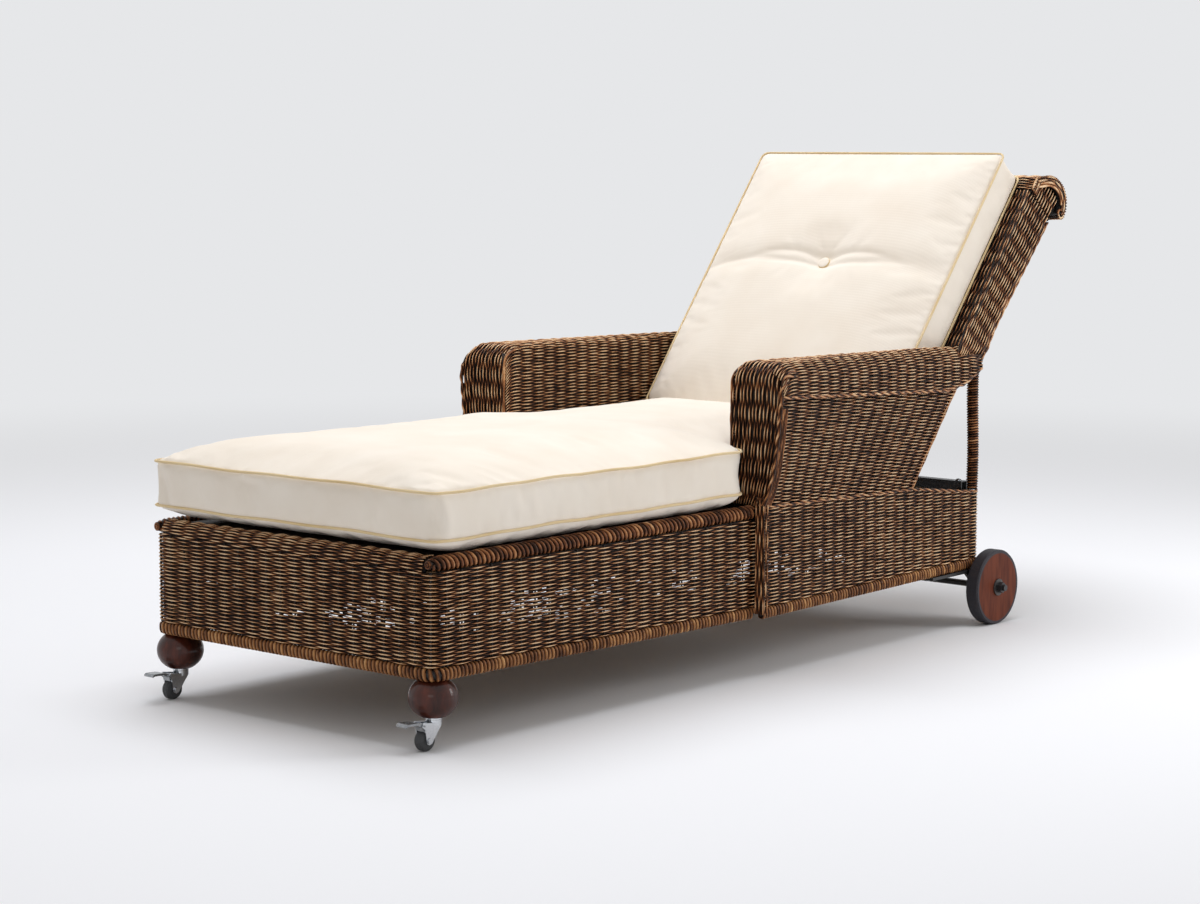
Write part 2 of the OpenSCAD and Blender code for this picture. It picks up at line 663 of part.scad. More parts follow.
seat_low = deck_top + soft_gap;
seat_pipe_low = seat_low + seat_belly;
function seat_ring(share, inset, z) = [for (q = drawn(seat_outline, seat_mid, share, inset)) [q[0], q[1], z]];
function seat_top_z(share) = seat_pipe_low + seat_box + seat_crown * (1 - pow(share, seat_fill));
function seat_low_z(share) = seat_low + seat_belly * pow(share, 10);

module seat_cushion() color(cream) at_foot()
    ring_solid(concat(
        [for (k = [0.6, 0.85, 0.93, 0.98]) seat_ring(k, 0, seat_low_z(k))],
        [seat_ring(1, 0, seat_pipe_low),
         seat_ring(1, box_draw, seat_pipe_low + seat_box * 0.3),
         seat_ring(1, box_draw, seat_pipe_low + seat_box * 0.7),
         seat_ring(1, 0, seat_pipe_low + seat_box)],
        [for (k = [0.98, 0.95, 0.9, 0.82, 0.7, 0.5, 0.28]) seat_ring(k, 0, seat_top_z(k))]),
        [seat_mid[0], seat_mid[1], seat_low], [seat_mid[0], seat_mid[1], seat_top_z(0)]);

// The back cushion is drawn as [x, distance up the back], with its depth in front of the back's plane
pad_mid = [0, tuft_at];
pad_rear = soft_gap + pad_belly;
function half_pad() = concat(
    arc(pad_w_low / 2 - 14, pad_low + 14, 14, -90, 0, 2),
    arc(pad_w / 2 - 14, pad_high - 14, 14, 0, 90, 2));
pad_outline = dense(concat(half_pad(), mirrored(half_pad())), 62);
function pad_ring(share, inset, n) = [for (q = drawn(pad_outline, pad_mid, share, inset)) [q[0], -n, q[1]]];
function crease(x, d) = crease_depth * exp(-pow((d - tuft_at) / 26, 2)) * (1 - pow(x / (pad_w / 2), 4));
function dimple(x, d) = (tuft_depth - crease_depth) * exp(-(pow(x / 55, 2) + pow((d - tuft_at) / 40, 2)));
pad_tuft = pad_rear + pad_box + pad_crown - tuft_depth;
function pad_depth(x, d, share) = share < 0.06 ? pad_tuft
    : pad_rear + pad_box + pad_crown * (1 - pow(share, 4)) - crease(x, d) - dimple(x, d);
function pad_front(share) = [for (q = drawn(pad_outline, pad_mid, share, 0))
    [q[0], -pad_depth(q[0], q[1], share), q[1]]];

module back_cushion() color(cream) at_foot() in_back()
    ring_solid(concat(
        [for (k = [0.05, 0.5, 0.9]) pad_ring(k, 0, k < 0.1 ? button_t + 2 * soft_gap : soft_gap)],
        [pad_ring(1, 0, pad_rear),
         pad_ring(1, box_draw, pad_rear + pad_box * 0.3),
         pad_ring(1, box_draw, pad_rear + pad_box * 0.7),
         pad_ring(1, 0, pad_rear + pad_box)],
        [for (k = [0.97, 0.9, 0.78, 0.62, 0.46, 0.3, 0.19, 0.11, 0.05]) pad_front(k)]),
        [0, -button_t - 2 * soft_gap, tuft_at], [0, -pad_tuft, tuft_at]);

module tuft_buttons() color(cream) at_foot() in_back()
    for (p = [[pad_tuft + soft_gap, 90], [button_t + soft_gap, -90]])
        translate([0, -p[0], tuft_at]) rotate([p[1], 0, 0]) intersection() {
            cylinder(d = button_d, h = button_t);
            translate([0, 0, button_t - button_d]) sphere(r = button_d);
        }

// Feet and casters
module ball_feet() color(walnut) at_foot() both_sides() difference() {
    translate([ball_x, ball_inset, 0]) intersection() {
        translate([0, 0, ball_low]) cylinder(d = ball_d + 2, h = under_z - ball_low);
        rotate_extrude() intersection() {
            square([ball_d, 200]);
            polygon([for (a = [-90 : 6 : 90]) [ball_d / 2 * cos(a), ball_z + ball_half * sin(a)]]);
        }
    }
    translate([ball_x, ball_inset, ball_low - 1]) cylinder(d = stem_d, h = stem_in + 1);
}

module caster_stems() color(chrome) at_foot() both_sides() translate([ball_x, ball_inset, 0]) {
    translate([0, 0, crown_low - side_gap])
        cylinder(d = stem_d, h = ball_low + stem_in - crown_low + side_gap);
    translate([0, 0, ball_low - collar_t]) cylinder(d = collar_d, h = collar_t);
    translate([0, 0, crown_low - side_gap - 2]) cylinder(d = stem_d + 4, h = 2);
}

// Places a caster piece, drawn about its own swivel axis or its wheel's axle
module at_caster(side) at_foot() on_side(side) translate([ball_x, ball_inset, 0]) children();
module at_caster_axle(side)
    at_caster(side) translate([0, -caster_trail, caster_r]) rotate([0, 90, 0]) children();

module caster_fork(side) color(chrome) at_caster(side) difference() {
    union() {
        translate([0, 0, crown_low]) cylinder(d = collar_d, h = crown_t);
        translate([-cheek_out, -caster_trail - 6, crown_low]) cube([2 * cheek_out, caster_trail + 6, 2.5]);
        for (x = [-cheek_out, cheek_in]) side_plate(x, cheek_t)
            polygon([[-caster_trail - 6, caster_r - 4], [-caster_trail, caster_r - 7],
                     [-caster_trail + 6, caster_r - 4],
                     [7, crown_low], [4, crown_low + 3], [-caster_trail - 12, crown_low + 8],
                     [-caster_trail - 17, crown_low + 2], [-caster_trail - 10, crown_low - 3]]);
    }
    translate([0, 0, crown_low - 1]) cylinder(d = stem_d + 2 * run_gap, h = crown_t + 2);
    translate([-cheek_out - 1, -caster_trail, caster_r]) rotate([0, 90, 0])
        cylinder(d = caster_axle_d, h = 2 * cheek_out + 2);
    translate([-cheek_out - 1, lever_pin[0], lever_pin[1]]) rotate([0, 90, 0])
        cylinder(d = lever_pin_d + 2 * run_gap, h = 2 * cheek_out + 2);
}

module caster_axle(side) color(steel) at_caster_axle(side) {
    translate([0, 0, -cheek_out - 1]) cylinder(d = caster_axle_d, h = 2 * cheek_out + 2);
    for (x = [-cheek_out - 2.5, cheek_out + 0.5]) translate([0, 0, x]) cylinder(d = caster_axle_d + 4, h = 2);
}

module caster_wheel(side) color(rubber) at_caster_axle(side) rotate_extrude() polygon([
        [caster_axle_d / 2 + run_gap, -caster_w / 2], [caster_r - 5, -caster_w / 2],
        [caster_r - 2, -caster_w / 2 + 1],
        [caster_r, -caster_w / 2 + 4], [caster_r, caster_w / 2 - 4], [caster_r - 2, caster_w / 2 - 1],
        [caster_r - 5, caster_w / 2], [caster_axle_d / 2 + run_gap, caster_w / 2]]);

module brake_lever(side) color(steel) at_caster(side) {
    translate([-cheek_out - 1.5, lever_pin[0], lever_pin[1]]) rotate([0, 90, 0])
        cylinder(d = lever_pin_d, h = 2 * cheek_out + 3);
    side_plate(-cheek_in + side_gap, 2 * (cheek_in - side_gap))
        polygon([lever_pin + [2.9, -9.8], lever_pin + [4, -2], lever_pin + [3, 3], lever_pin + [-4, 4.5],
                 [-lever_reach * 0.66, lever_pin[1] + 7], [-lever_reach * 0.66, lever_pin[1] + 4],
                 lever_pin + [-4, -1.5], lever_pin + [-1, -3], lever_pin + [0.5, -9.5]]);
    side_plate(-pedal_w / 2, pedal_w)
        polygon([[-lever_reach * 0.64, lever_pin[1] + 4], [-lever_reach * 0.64, lever_pin[1] + 7.4],
                 [-lever_reach + 3, lever_pin[1] + 8.4], [-lever_reach, lever_pin[1] + 6],
                 [-lever_reach, lever_pin[1] + 3], [-lever_reach + 3, lever_pin[1] + 4.4]]);
}

// Rear wheels and axle
module at_axle() at_foot() translate([0, axle_s, axle_z]) rotate([0, 90, 0]) children();

module rear_axle() color(steel) at_axle()
    translate([0, 0, -axle_half]) cylinder(d = axle_d, h = 2 * axle_half);

module axle_brackets() color(black) at_foot() both_sides() difference() {
    union() {
        side_plate(bracket_x - strap_w + bracket_t, strap_w)
            polygon([[strap_s, border_low(strap_s)], [base_len - corner_r, under_z],
                     [base_len - corner_r, under_z - bracket_t], [strap_s, border_low(strap_s) - bracket_t]]);
        side_plate(bracket_x, bracket_t)
            polygon([[axle_s - 70, border_low(axle_s - 70)], [axle_s - 70, under_z - bracket_t - 1],
                     [axle_s - 18, axle_z - 12],
                     [axle_s - 12, axle_z - 18], [axle_s + 12, axle_z - 18], [axle_s + 18, axle_z - 12],
                     [axle_s + 18, axle_z + 12], [base_len - 2, under_z], [base_len - corner_r, under_z]]);
    }
    translate([bracket_x - 1, axle_s, axle_z]) rotate([0, 90, 0]) cylinder(d = axle_d, h = bracket_t + 2);
    bracket_bolt_holes(bracket_bolt_d + 2 * bolt_gap);
}

// Holes for the bracket bolts, from below the straps up into the side rails
module bracket_bolt_holes(d)
    for (s = bracket_bolt_s) translate([bracket_bolt_x, s, under_z - 30])
        cylinder(d = d, h = 30 + border_h + rail_s / 2);

module bracket_bolts() color(steel) at_foot() both_sides()
    for (s = bracket_bolt_s) translate([bracket_bolt_x, s, border_low(s) - bracket_t]) {
        cylinder(d = bracket_bolt_d, h = under_z - border_low(s) + bracket_t + border_h + rail_s / 2);
        translate([0, 0, -4.1]) cylinder(d = 1.8 * bracket_bolt_d, h = 4, $fn = 6);
    }

module axle_washers() color(steel) at_axle()
    for (x = [-1, 1]) for (w = [wheel_x - side_gap - washer_t, wheel_x + wheel_t + side_gap])
        translate([0, 0, x > 0 ? w : -w - washer_t]) difference() {
            cylinder(d = washer_d, h = washer_t);
            translate([0, 0, -1]) cylinder(d = axle_d, h = washer_t + 2);
        }

module axle_nuts() color(black) at_axle()
    for (x = [0, 180]) rotate([x, 0, 0]) translate([0, 0, wheel_x + wheel_t + side_gap + washer_t])
        difference() {
            cylinder(d = nut_s / cos(30), h = nut_h, $fn = 6);
            translate([0, 0, -1]) cylinder(d = axle_d, h = nut_h + 2);
        }

module rear_wheel(side) color(wheel_wood) at_axle() on_wheel(side) difference() {
    cylinder(r = wheel_r - tyre_t, h = wheel_t);
    translate([0, 0, -1]) cylinder(d = axle_d + 2 * run_gap, h = wheel_t + 2);
}

module rear_tyre(side) color(rubber) at_axle() on_wheel(side) rotate_extrude()
    polygon([[wheel_r - tyre_t, 0], [wheel_r - 2, 0], [wheel_r, 3], [wheel_r, wheel_t - 3],
             [wheel_r - 2, wheel_t], [wheel_r - tyre_t, wheel_t]]);

// Moves a piece drawn from the axle's middle out to a wheel's inner face
module on_wheel(side) mirror([0, 0, side < 0 ? 1 : 0]) translate([0, 0, wheel_x]) children();

foot_apron();
head_apron();
foot_side(1);  // foot_side_left
foot_side(-1);  // foot_side_right
chair_side(1);  // chair_side_left
chair_side(-1);  // chair_side_right
side_rim(1);  // side_rim_left
side_rim(-1);  // side_rim_right
end_borders();
border_side(1);  // border_left
border_side(-1);  // border_right
front_posts();
corner_posts();
deck_weave();
seat_slats();
centre_beam();
side_rail(1);  // side_rail_left
side_rail(-1);  // side_rail_right
end_rails();
side_panel(1);  // side_panel_left
side_panel(-1);  // side_panel_right
arm_front(1);  // arm_front_left
arm_front(-1);  // arm_front_right
arm_inner(1);  // arm_inner_left
arm_inner(-1);  // arm_inner_right
arm_top(1);  // arm_top_left
arm_top(-1);  // arm_top_right
rear_post(1);  // rear_post_left
rear_post(-1);  // rear_post_right
cross_bar();
cross_bar_bolts();
back_front();
back_rear();
back_side(1);  // back_side_left
back_side(-1);  // back_side_right
back_scroll();
back_stiles();
back_rails();
seat_cushion();
back_cushion();
tuft_buttons();
ball_feet();
caster_stems();
caster_fork(1);  // caster_fork_left
caster_fork(-1);  // caster_fork_right
caster_axle(1);  // caster_axle_left
caster_axle(-1);  // caster_axle_right
caster_wheel(1);  // caster_wheel_left
caster_wheel(-1);  // caster_wheel_right
brake_lever(1);  // brake_lever_left
brake_lever(-1);  // brake_lever_right
rear_axle();
axle_brackets();
bracket_bolts();
axle_washers();
axle_nuts();
rear_wheel(1);  // rear_wheel_left
rear_wheel(-1);  // rear_wheel_right
rear_tyre(1);  // rear_tyre_left
rear_tyre(-1);  // rear_tyre_right
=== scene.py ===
# %% [markdown]
# # A woven wicker chaise longue
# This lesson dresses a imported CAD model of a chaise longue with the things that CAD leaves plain: some
# eight hundred metres of woven strand, two stuffed cushions with piped seams, and finishes for wood, steel
# and chrome. The CAD model is loaded first as a fixed frame. Nothing in it is moved, so every new piece is
# made where the real one sits and then told which body of the frame it rides on.

# %% Load the frame
import math

import bmesh
import bpy
import numpy as np
from mathutils import Matrix, Vector


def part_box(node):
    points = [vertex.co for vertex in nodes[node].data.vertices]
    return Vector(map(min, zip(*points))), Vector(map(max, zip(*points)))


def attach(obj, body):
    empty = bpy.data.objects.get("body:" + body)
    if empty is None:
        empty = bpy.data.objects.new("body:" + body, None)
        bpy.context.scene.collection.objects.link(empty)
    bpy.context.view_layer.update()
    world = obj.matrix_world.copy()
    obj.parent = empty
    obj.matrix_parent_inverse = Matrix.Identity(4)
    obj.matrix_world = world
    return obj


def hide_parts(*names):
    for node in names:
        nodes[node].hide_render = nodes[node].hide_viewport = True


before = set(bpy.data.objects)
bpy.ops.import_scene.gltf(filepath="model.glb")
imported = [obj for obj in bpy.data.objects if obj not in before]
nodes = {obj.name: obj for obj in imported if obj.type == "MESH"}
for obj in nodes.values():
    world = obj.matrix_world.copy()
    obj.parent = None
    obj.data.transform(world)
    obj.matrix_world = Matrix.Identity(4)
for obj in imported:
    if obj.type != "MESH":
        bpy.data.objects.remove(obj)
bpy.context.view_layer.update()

# %% [markdown]
# The maker's drawings use millimetres: x across the chaise, s back from its foot end, and z up from the
# floor. One function turns such points into Blender's metres, so the sizes below read as on the drawing.

# %% Places in millimetres
FOOT_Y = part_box("foot_apron")[0][1]


def place(points):
    """Turns [x, s, z] in millimetres into metres in the frame."""
    return np.asarray(points, float) * 0.001 + np.array([0.0, FOOT_Y, 0.0])


# Base: its length, the foot section's length, and the heights of its top and its lower edge
BASE_LEN, FOOT_LEN, BASE_TOP, UNDER = 1594.0, 835.0, 317.0, 115.0
# Half widths of the foot section, of the head end, and of the chair section where it starts
FOOT_HALF, HEAD_HALF, CHAIR_HALF = 342.0, 336.0, 360.0
# The deck's height, and the corner radii at the foot end and the head end
DECK, CORNER, HEAD_CORNER = 307.0, 26.0, 14.0
# The back: how far it leans from upright, where its front plane meets the deck, and its length
RECLINE = math.radians(38.5)
BACK_FOOT, BACK_LEN = 1292.0, 731.0


def chair_half(s):
    """Half width of the chair section at a distance from the foot end."""
    return CHAIR_HALF - (s - FOOT_LEN) * (CHAIR_HALF - HEAD_HALF) / (BASE_LEN - FOOT_LEN)


def in_back(n, d):
    """s and z of a point n behind the back's front plane and d up it."""
    return (BACK_FOOT + n * math.cos(RECLINE) + d * math.sin(RECLINE),
            DECK - n * math.sin(RECLINE) + d * math.cos(RECLINE))


print("foot end at y =", round(FOOT_Y, 4), "m; the back's top at s, z =", np.round(in_back(0, BACK_LEN), 1))

# %% [markdown]
# ## Camera
# The camera stands where the photograph's did: in front of the foot end and to the near side, about a metre
# up, with a long lens. It was found by matching the corners of the base, the casters and the wheels.

# %% Camera
look = Vector((-0.6489, 0.7524, -0.1129)).normalized()
level_right = look.cross(Vector((0, 0, 1))).normalized()
level_up = level_right.cross(look)
roll = math.radians(0.13)
cam_right = level_right * math.cos(roll) + level_up * math.sin(roll)
cam_up = level_up * math.cos(roll) - level_right * math.sin(roll)

camera_data = bpy.data.cameras.new("camera")
camera_data.lens = 80.45
camera_data.sensor_width = 36
camera_data.clip_end = 60
camera = bpy.data.objects.new("camera", camera_data)
camera.matrix_world = Matrix((
    (cam_right[0], cam_up[0], -look[0], 3.2705),
    (cam_right[1], cam_up[1], -look[1], -3.9155),
    (cam_right[2], cam_up[2], -look[2], 0.9608),
    (0, 0, 0, 1)))
bpy.context.scene.collection.objects.link(camera)
bpy.context.scene.camera = camera
print("camera", round(camera_data.lens, 1), "mm at", [round(c, 3) for c in camera.location])

# %% [markdown]
# ## Finishes
# Blender shades in linear light, but colours are picked on a screen, so one function turns a screen
# colour into a linear one. A second one adds a shader node, sets it up and links it, and that is all the
# machinery the finishes need.

# %% Colour and node helpers
def paint(code):
    """A screen colour such as #8a6238 as a linear colour."""
    parts = [int(code[i:i + 2], 16) / 255 for i in (1, 3, 5)]
    return tuple(c / 12.92 if c <= 0.04045 else ((c + 0.055) / 1.055) ** 2.4 for c in parts) + (1.0,)


def add(tree, kind, inputs=None, stops=None, **settings):
    """Adds a shader node. An input that is another node's socket is linked, any other is set."""
    new = tree.nodes.new("ShaderNode" + kind)
    for name, value in settings.items():
        setattr(new, name, value)
    for name, value in (inputs or {}).items():
        if isinstance(value, bpy.types.NodeSocket):
            tree.links.new(value, new.inputs[name])
        else:
            new.inputs[name].default_value = value
    if stops:
        ramp = new.color_ramp
        while len(ramp.elements) < len(stops):
            ramp.elements.new(0.5)
        for element, (at, code) in zip(ramp.elements, stops):
            element.position = at
            element.color = paint(code)
    return new


def start(name, **surface):
    """A new material with its Principled shader set from the keyword values."""
    made = bpy.data.materials.new(name)
    made.use_nodes = True
    tree = made.node_tree
    tree.nodes.clear()
    shader = add(tree, "BsdfPrincipled", {k.replace("_", " "): v for k, v in surface.items()})
    add(tree, "OutputMaterial", {"Surface": shader.outputs[0]})
    return made, tree, shader


def colour_and_bump(tree, shader, shade, stops, height, strength, distance):
    """Colours the shader by a ramp over one value, and raises it by another, distance metres at most."""
    tone = add(tree, "ValToRGB", {"Fac": shade}, stops=stops)
    tree.links.new(tone.outputs["Color"], shader.inputs["Base Color"])
    raised = add(tree, "Bump", {"Height": height, "Strength": strength, "Distance": distance})
    tree.links.new(raised.outputs[0], shader.inputs["Normal"])


# %% [markdown]
# Lacquered wicker: round strands of peeled, twisted plant core, stained dark and sealed with a clear coat.
# Each strand takes the stain a little differently. The strands carry a UV map whose first value is the length
# along the strand and whose second one is different for each strand, so the stain can change from strand to
# strand and along each of them, with fibres as fine streaks. A second UV map tells how far a place stands out
# and how squarely it faces outwards. From it the colour is made darker in the hollows, as stain and painted
# shade, darker on a strand's flanks, as painted shade, and paler on its high spots, as a painted highlight.

# %% Wicker
def strand_finish(name, stops):
    """Stained strand; stops run from the painted shade and stain in the hollows to the painted highlight on
    the high spots.
    """
    made, tree, shader = start(name, Roughness=0.4, Coat_Weight=0.1, Coat_Roughness=0.2,
                               Specular_IOR_Level=0.3, Specular_Tint=paint("#dca078"))
    uv = add(tree, "UVMap", uv_map="strand")
    long = add(tree, "Mapping", {"Vector": uv.outputs[0], "Scale": (26.0, 3.1, 1.0)})
    stain = add(tree, "TexNoise", {"Vector": long.outputs[0], "Scale": 1.0, "Detail": 2.0})
    fine = add(tree, "Mapping", {"Vector": uv.outputs[0], "Scale": (140.0, 90.0, 1.0)})
    fibre = add(tree, "TexNoise", {"Vector": fine.outputs[0], "Scale": 1.0, "Detail": 1.0})
    spot = add(tree, "TexCoord")
    patch = add(tree, "TexNoise", {"Vector": spot.outputs["Object"], "Scale": 7.0, "Detail": 2.0})
    stain_shade_parts = add(tree, "UVMap", uv_map="stain_and_shade")
    stain_shade_parts = add(tree, "SeparateXYZ", {0: stain_shade_parts.outputs[0]})
    # Stain, fibre and patches vary at random; the second UV map's X darkens the hollows as stain and painted
    # shade, and its Y paints the highlight on a strand's outer side and the shade on its flanks
    tone = add(tree, "Math", {0: stain.outputs["Fac"], 1: 0.85, 2: -0.485}, operation="MULTIPLY_ADD")
    for source, weight in ((fibre.outputs["Fac"], 0.18), (patch.outputs["Fac"], 0.28),
                           (stain_shade_parts.outputs["X"], 0.32), (stain_shade_parts.outputs["Y"], 0.56)):
        tone = add(tree, "Math", {0: source, 1: weight, 2: tone.outputs[0]}, operation="MULTIPLY_ADD")
    colour_and_bump(tree, shader, tone.outputs[0], stops, fibre.outputs["Fac"], 0.35, 0.0006)
    return made


wicker = strand_finish("stained_and_shaded_wicker", [
    (0.27, "#050202"), (0.44, "#28150c"), (0.58, "#7b4a2d"), (0.71, "#c08a5b"), (0.88, "#ebcca4")])
wrap_tan = strand_finish("wrapped_peel", [
    (0.27, "#0a0503"), (0.46, "#3a2013"), (0.62, "#7d5131"), (0.77, "#b28253"), (0.92, "#dcb27c")])


def dark_finish(name, code):
    """Cane seen only through the gaps: one deep tone, painted shade, with a faint grain."""
    made, tree, shader = start(name, Roughness=0.65)
    spot = add(tree, "TexCoord")
    grain = add(tree, "TexNoise", {"Vector": spot.outputs["Object"], "Scale": 90.0, "Detail": 2.0})
    colour_and_bump(tree, shader, grain.outputs["Fac"], [(0.35, "#0a0604"), (0.65, code)],
                    grain.outputs["Fac"], 0.2, 0.0005)
    return made


wicker_dark = dark_finish("painted_shade_wicker_inner", "#180e0a")

# %% [markdown]
# The deck's cane is seen only as a strip beside the cushion, so its weave is a bump on a flat board: two sets
# of bands at right angles, which take turns to stand out, and its colour goes near black where they sink, as
# painted shade in the gaps. Blender's wave texture at scale 1 has one band in every twentieth of a full
# turn's
# 6.28 m, from which the scale for a pitch in millimetres follows.

# %% Deck cane
BAND = 2 * math.pi / 20


def crossed_bands(tree, pitch, distortion, detail):
    """A value that stands out where two sets of bands cross; pitch is in millimetres."""
    spot = add(tree, "TexCoord")
    bands = []
    for direction in "XY":
        bands.append(add(tree, "TexWave", {"Vector": spot.outputs["Object"], "Scale": BAND * 1000 / pitch,
                                           "Distortion": distortion, "Detail": detail},
                         wave_type="BANDS", bands_direction=direction))
    cross = add(tree, "Math", {0: bands[0].outputs["Fac"], 1: bands[1].outputs["Fac"]}, operation="MULTIPLY")
    return cross.outputs[0]


def deck_finish(name, pitch=9.0):
    made, tree, shader = start(name, Roughness=0.45, Coat_Weight=0.2, Coat_Roughness=0.3)
    cross = crossed_bands(tree, pitch, 1.2, 2.0)
    # Near black where the bands sink: painted shade in the gaps
    stops = [(0.05, "#0d0705"), (0.4, "#3c2417"), (0.9, "#6e4a30")]
    colour_and_bump(tree, shader, cross, stops, cross, 0.7, 0.0015)
    return made


deck_cane = deck_finish("deck_cane")
print("wicker finishes:", wicker.name, wicker_dark.name, wrap_tan.name, deck_cane.name)

# %% [markdown]
# Outdoor canvas: a plain-woven acrylic cloth, matt and a little fuzzy, in off-white. Its threads are about
# 0.6 mm apart, too fine to show from here, so they are drawn at 4 mm as a faint bump. The piping on the
# seams is the same cloth in a sand colour, cut on the bias round a cord.

# %% Canvas
def canvas_finish(name, pale, deep, thread=4.0):
    made, tree, shader = start(name, Roughness=0.88, Sheen_Weight=0.12, Sheen_Roughness=0.5)
    spot = add(tree, "TexCoord")
    blot = add(tree, "TexNoise", {"Vector": spot.outputs["Object"], "Scale": 9.0, "Detail": 4.0})
    colour_and_bump(tree, shader, blot.outputs["Fac"], [(0.3, deep), (0.7, pale)],
                    crossed_bands(tree, thread, 0.6, 1.0), 0.25, 0.0004)
    return made


canvas = canvas_finish("offwhite_canvas", "#f4ebde", "#eee3d4")
piping_cloth = canvas_finish("sand_bias_piping", "#e6d0a6", "#d8bd8c", thread=3.0)

# %% [markdown]
# The hard finishes. Turned feet are walnut-brown lacquer over close-grained wood, the big wheels are stained
# wood with a dark rubber tyre pressed round them, the casters are chromed pressed steel with grey rubber
# treads, and the bar and axle brackets are black powder-coated steel. Bolts and levers are zinc-plated, and
# the big wheels' washers have dulled. The poles inside the weave are peeled rattan. Each gets its grain,
# orange peel or brushing from a noise at a real scale.

# %% Wood, steel and rubber
def surface_finish(name, stops, scale, stretch=(1, 1, 1), bump=0.1, depth=0.0003, **surface):
    """A material whose colour and bump come from one stretched noise; scale is in bumps per metre."""
    made, tree, shader = start(name, **surface)
    spot = add(tree, "TexCoord")
    turned = add(tree, "Mapping", {"Vector": spot.outputs["Object"], "Scale": stretch})
    grain = add(tree, "TexNoise", {"Vector": turned.outputs[0], "Scale": scale, "Detail": 4.0,
                                   "Distortion": 0.4})
    colour_and_bump(tree, shader, grain.outputs["Fac"], stops, grain.outputs["Fac"], bump, depth)
    return made


walnut = surface_finish("lacquered_walnut", [(0.35, "#2a0f08"), (0.7, "#562415")], 60, (1, 1, 0.15),
                        Roughness=0.45, Specular_IOR_Level=0.15, Coat_Weight=0.45, Coat_Roughness=0.06)
wheel_wood = surface_finish("stained_wheel_wood", [(0.3, "#4d2010"), (0.7, "#70351e")], 90, (1, 1, 0.12),
                            bump=0.25, Roughness=0.6, Specular_IOR_Level=0.2)
tyre_rubber = surface_finish("tyre_rubber", [(0.3, "#1b1920"), (0.7, "#2c2930")], 400, Roughness=0.6)
chrome = surface_finish("chrome_plate", [(0.3, "#c4c7cb"), (0.7, "#d6d8db")], 300, bump=0.03,
                        Metallic=1.0, Roughness=0.12)
dull_zinc = surface_finish("dull_zinc", [(0.3, "#4c4a48"), (0.7, "#646160")], 250,
                           Metallic=1.0, Roughness=0.5)
zinc = surface_finish("zinc_plate", [(0.3, "#7f8285"), (0.7, "#a6a8aa")], 250,
                      Metallic=1.0, Roughness=0.25)
black_steel = surface_finish("black_powder_coat", [(0.3, "#141416"), (0.7, "#222224")], 900, bump=0.3,
                             Roughness=0.38, Coat_Weight=0.15, Coat_Roughness=0.3)
caster_rubber = surface_finish("caster_rubber", [(0.3, "#2a2b2d"), (0.7, "#3d3e40")], 500, Roughness=0.55)
pole_wood = surface_finish("peeled_rattan_pole", [(0.3, "#8d6b46"), (0.7, "#b08c61")], 40, (1, 0.1, 1),
                           bump=0.2, Roughness=0.6)
print("hard finishes:", ", ".join(made.name for made in (
    walnut, wheel_wood, tyre_rubber, chrome, dull_zinc, zinc, black_steel, caster_rubber, pole_wood)))

# %% [markdown]
# ## Weaving
# A woven panel could be one flat sheet with a bump pattern, but at the panel's edges and in low light a bump
# gives itself away. Here each strand is a real tube of four faces a step, which goes over one stake and under
# the next. A Bundle collects the faces of all the strands of a panel, and makes them one mesh at the end.

# %% Bundle of strands
def unit(vectors):
    return vectors / np.linalg.norm(vectors, axis=-1, keepdims=True)


def distances(points):
    """How far along a line of points each of them is."""
    return np.concatenate([[0], np.cumsum(np.linalg.norm(np.diff(points, axis=0), axis=1))])


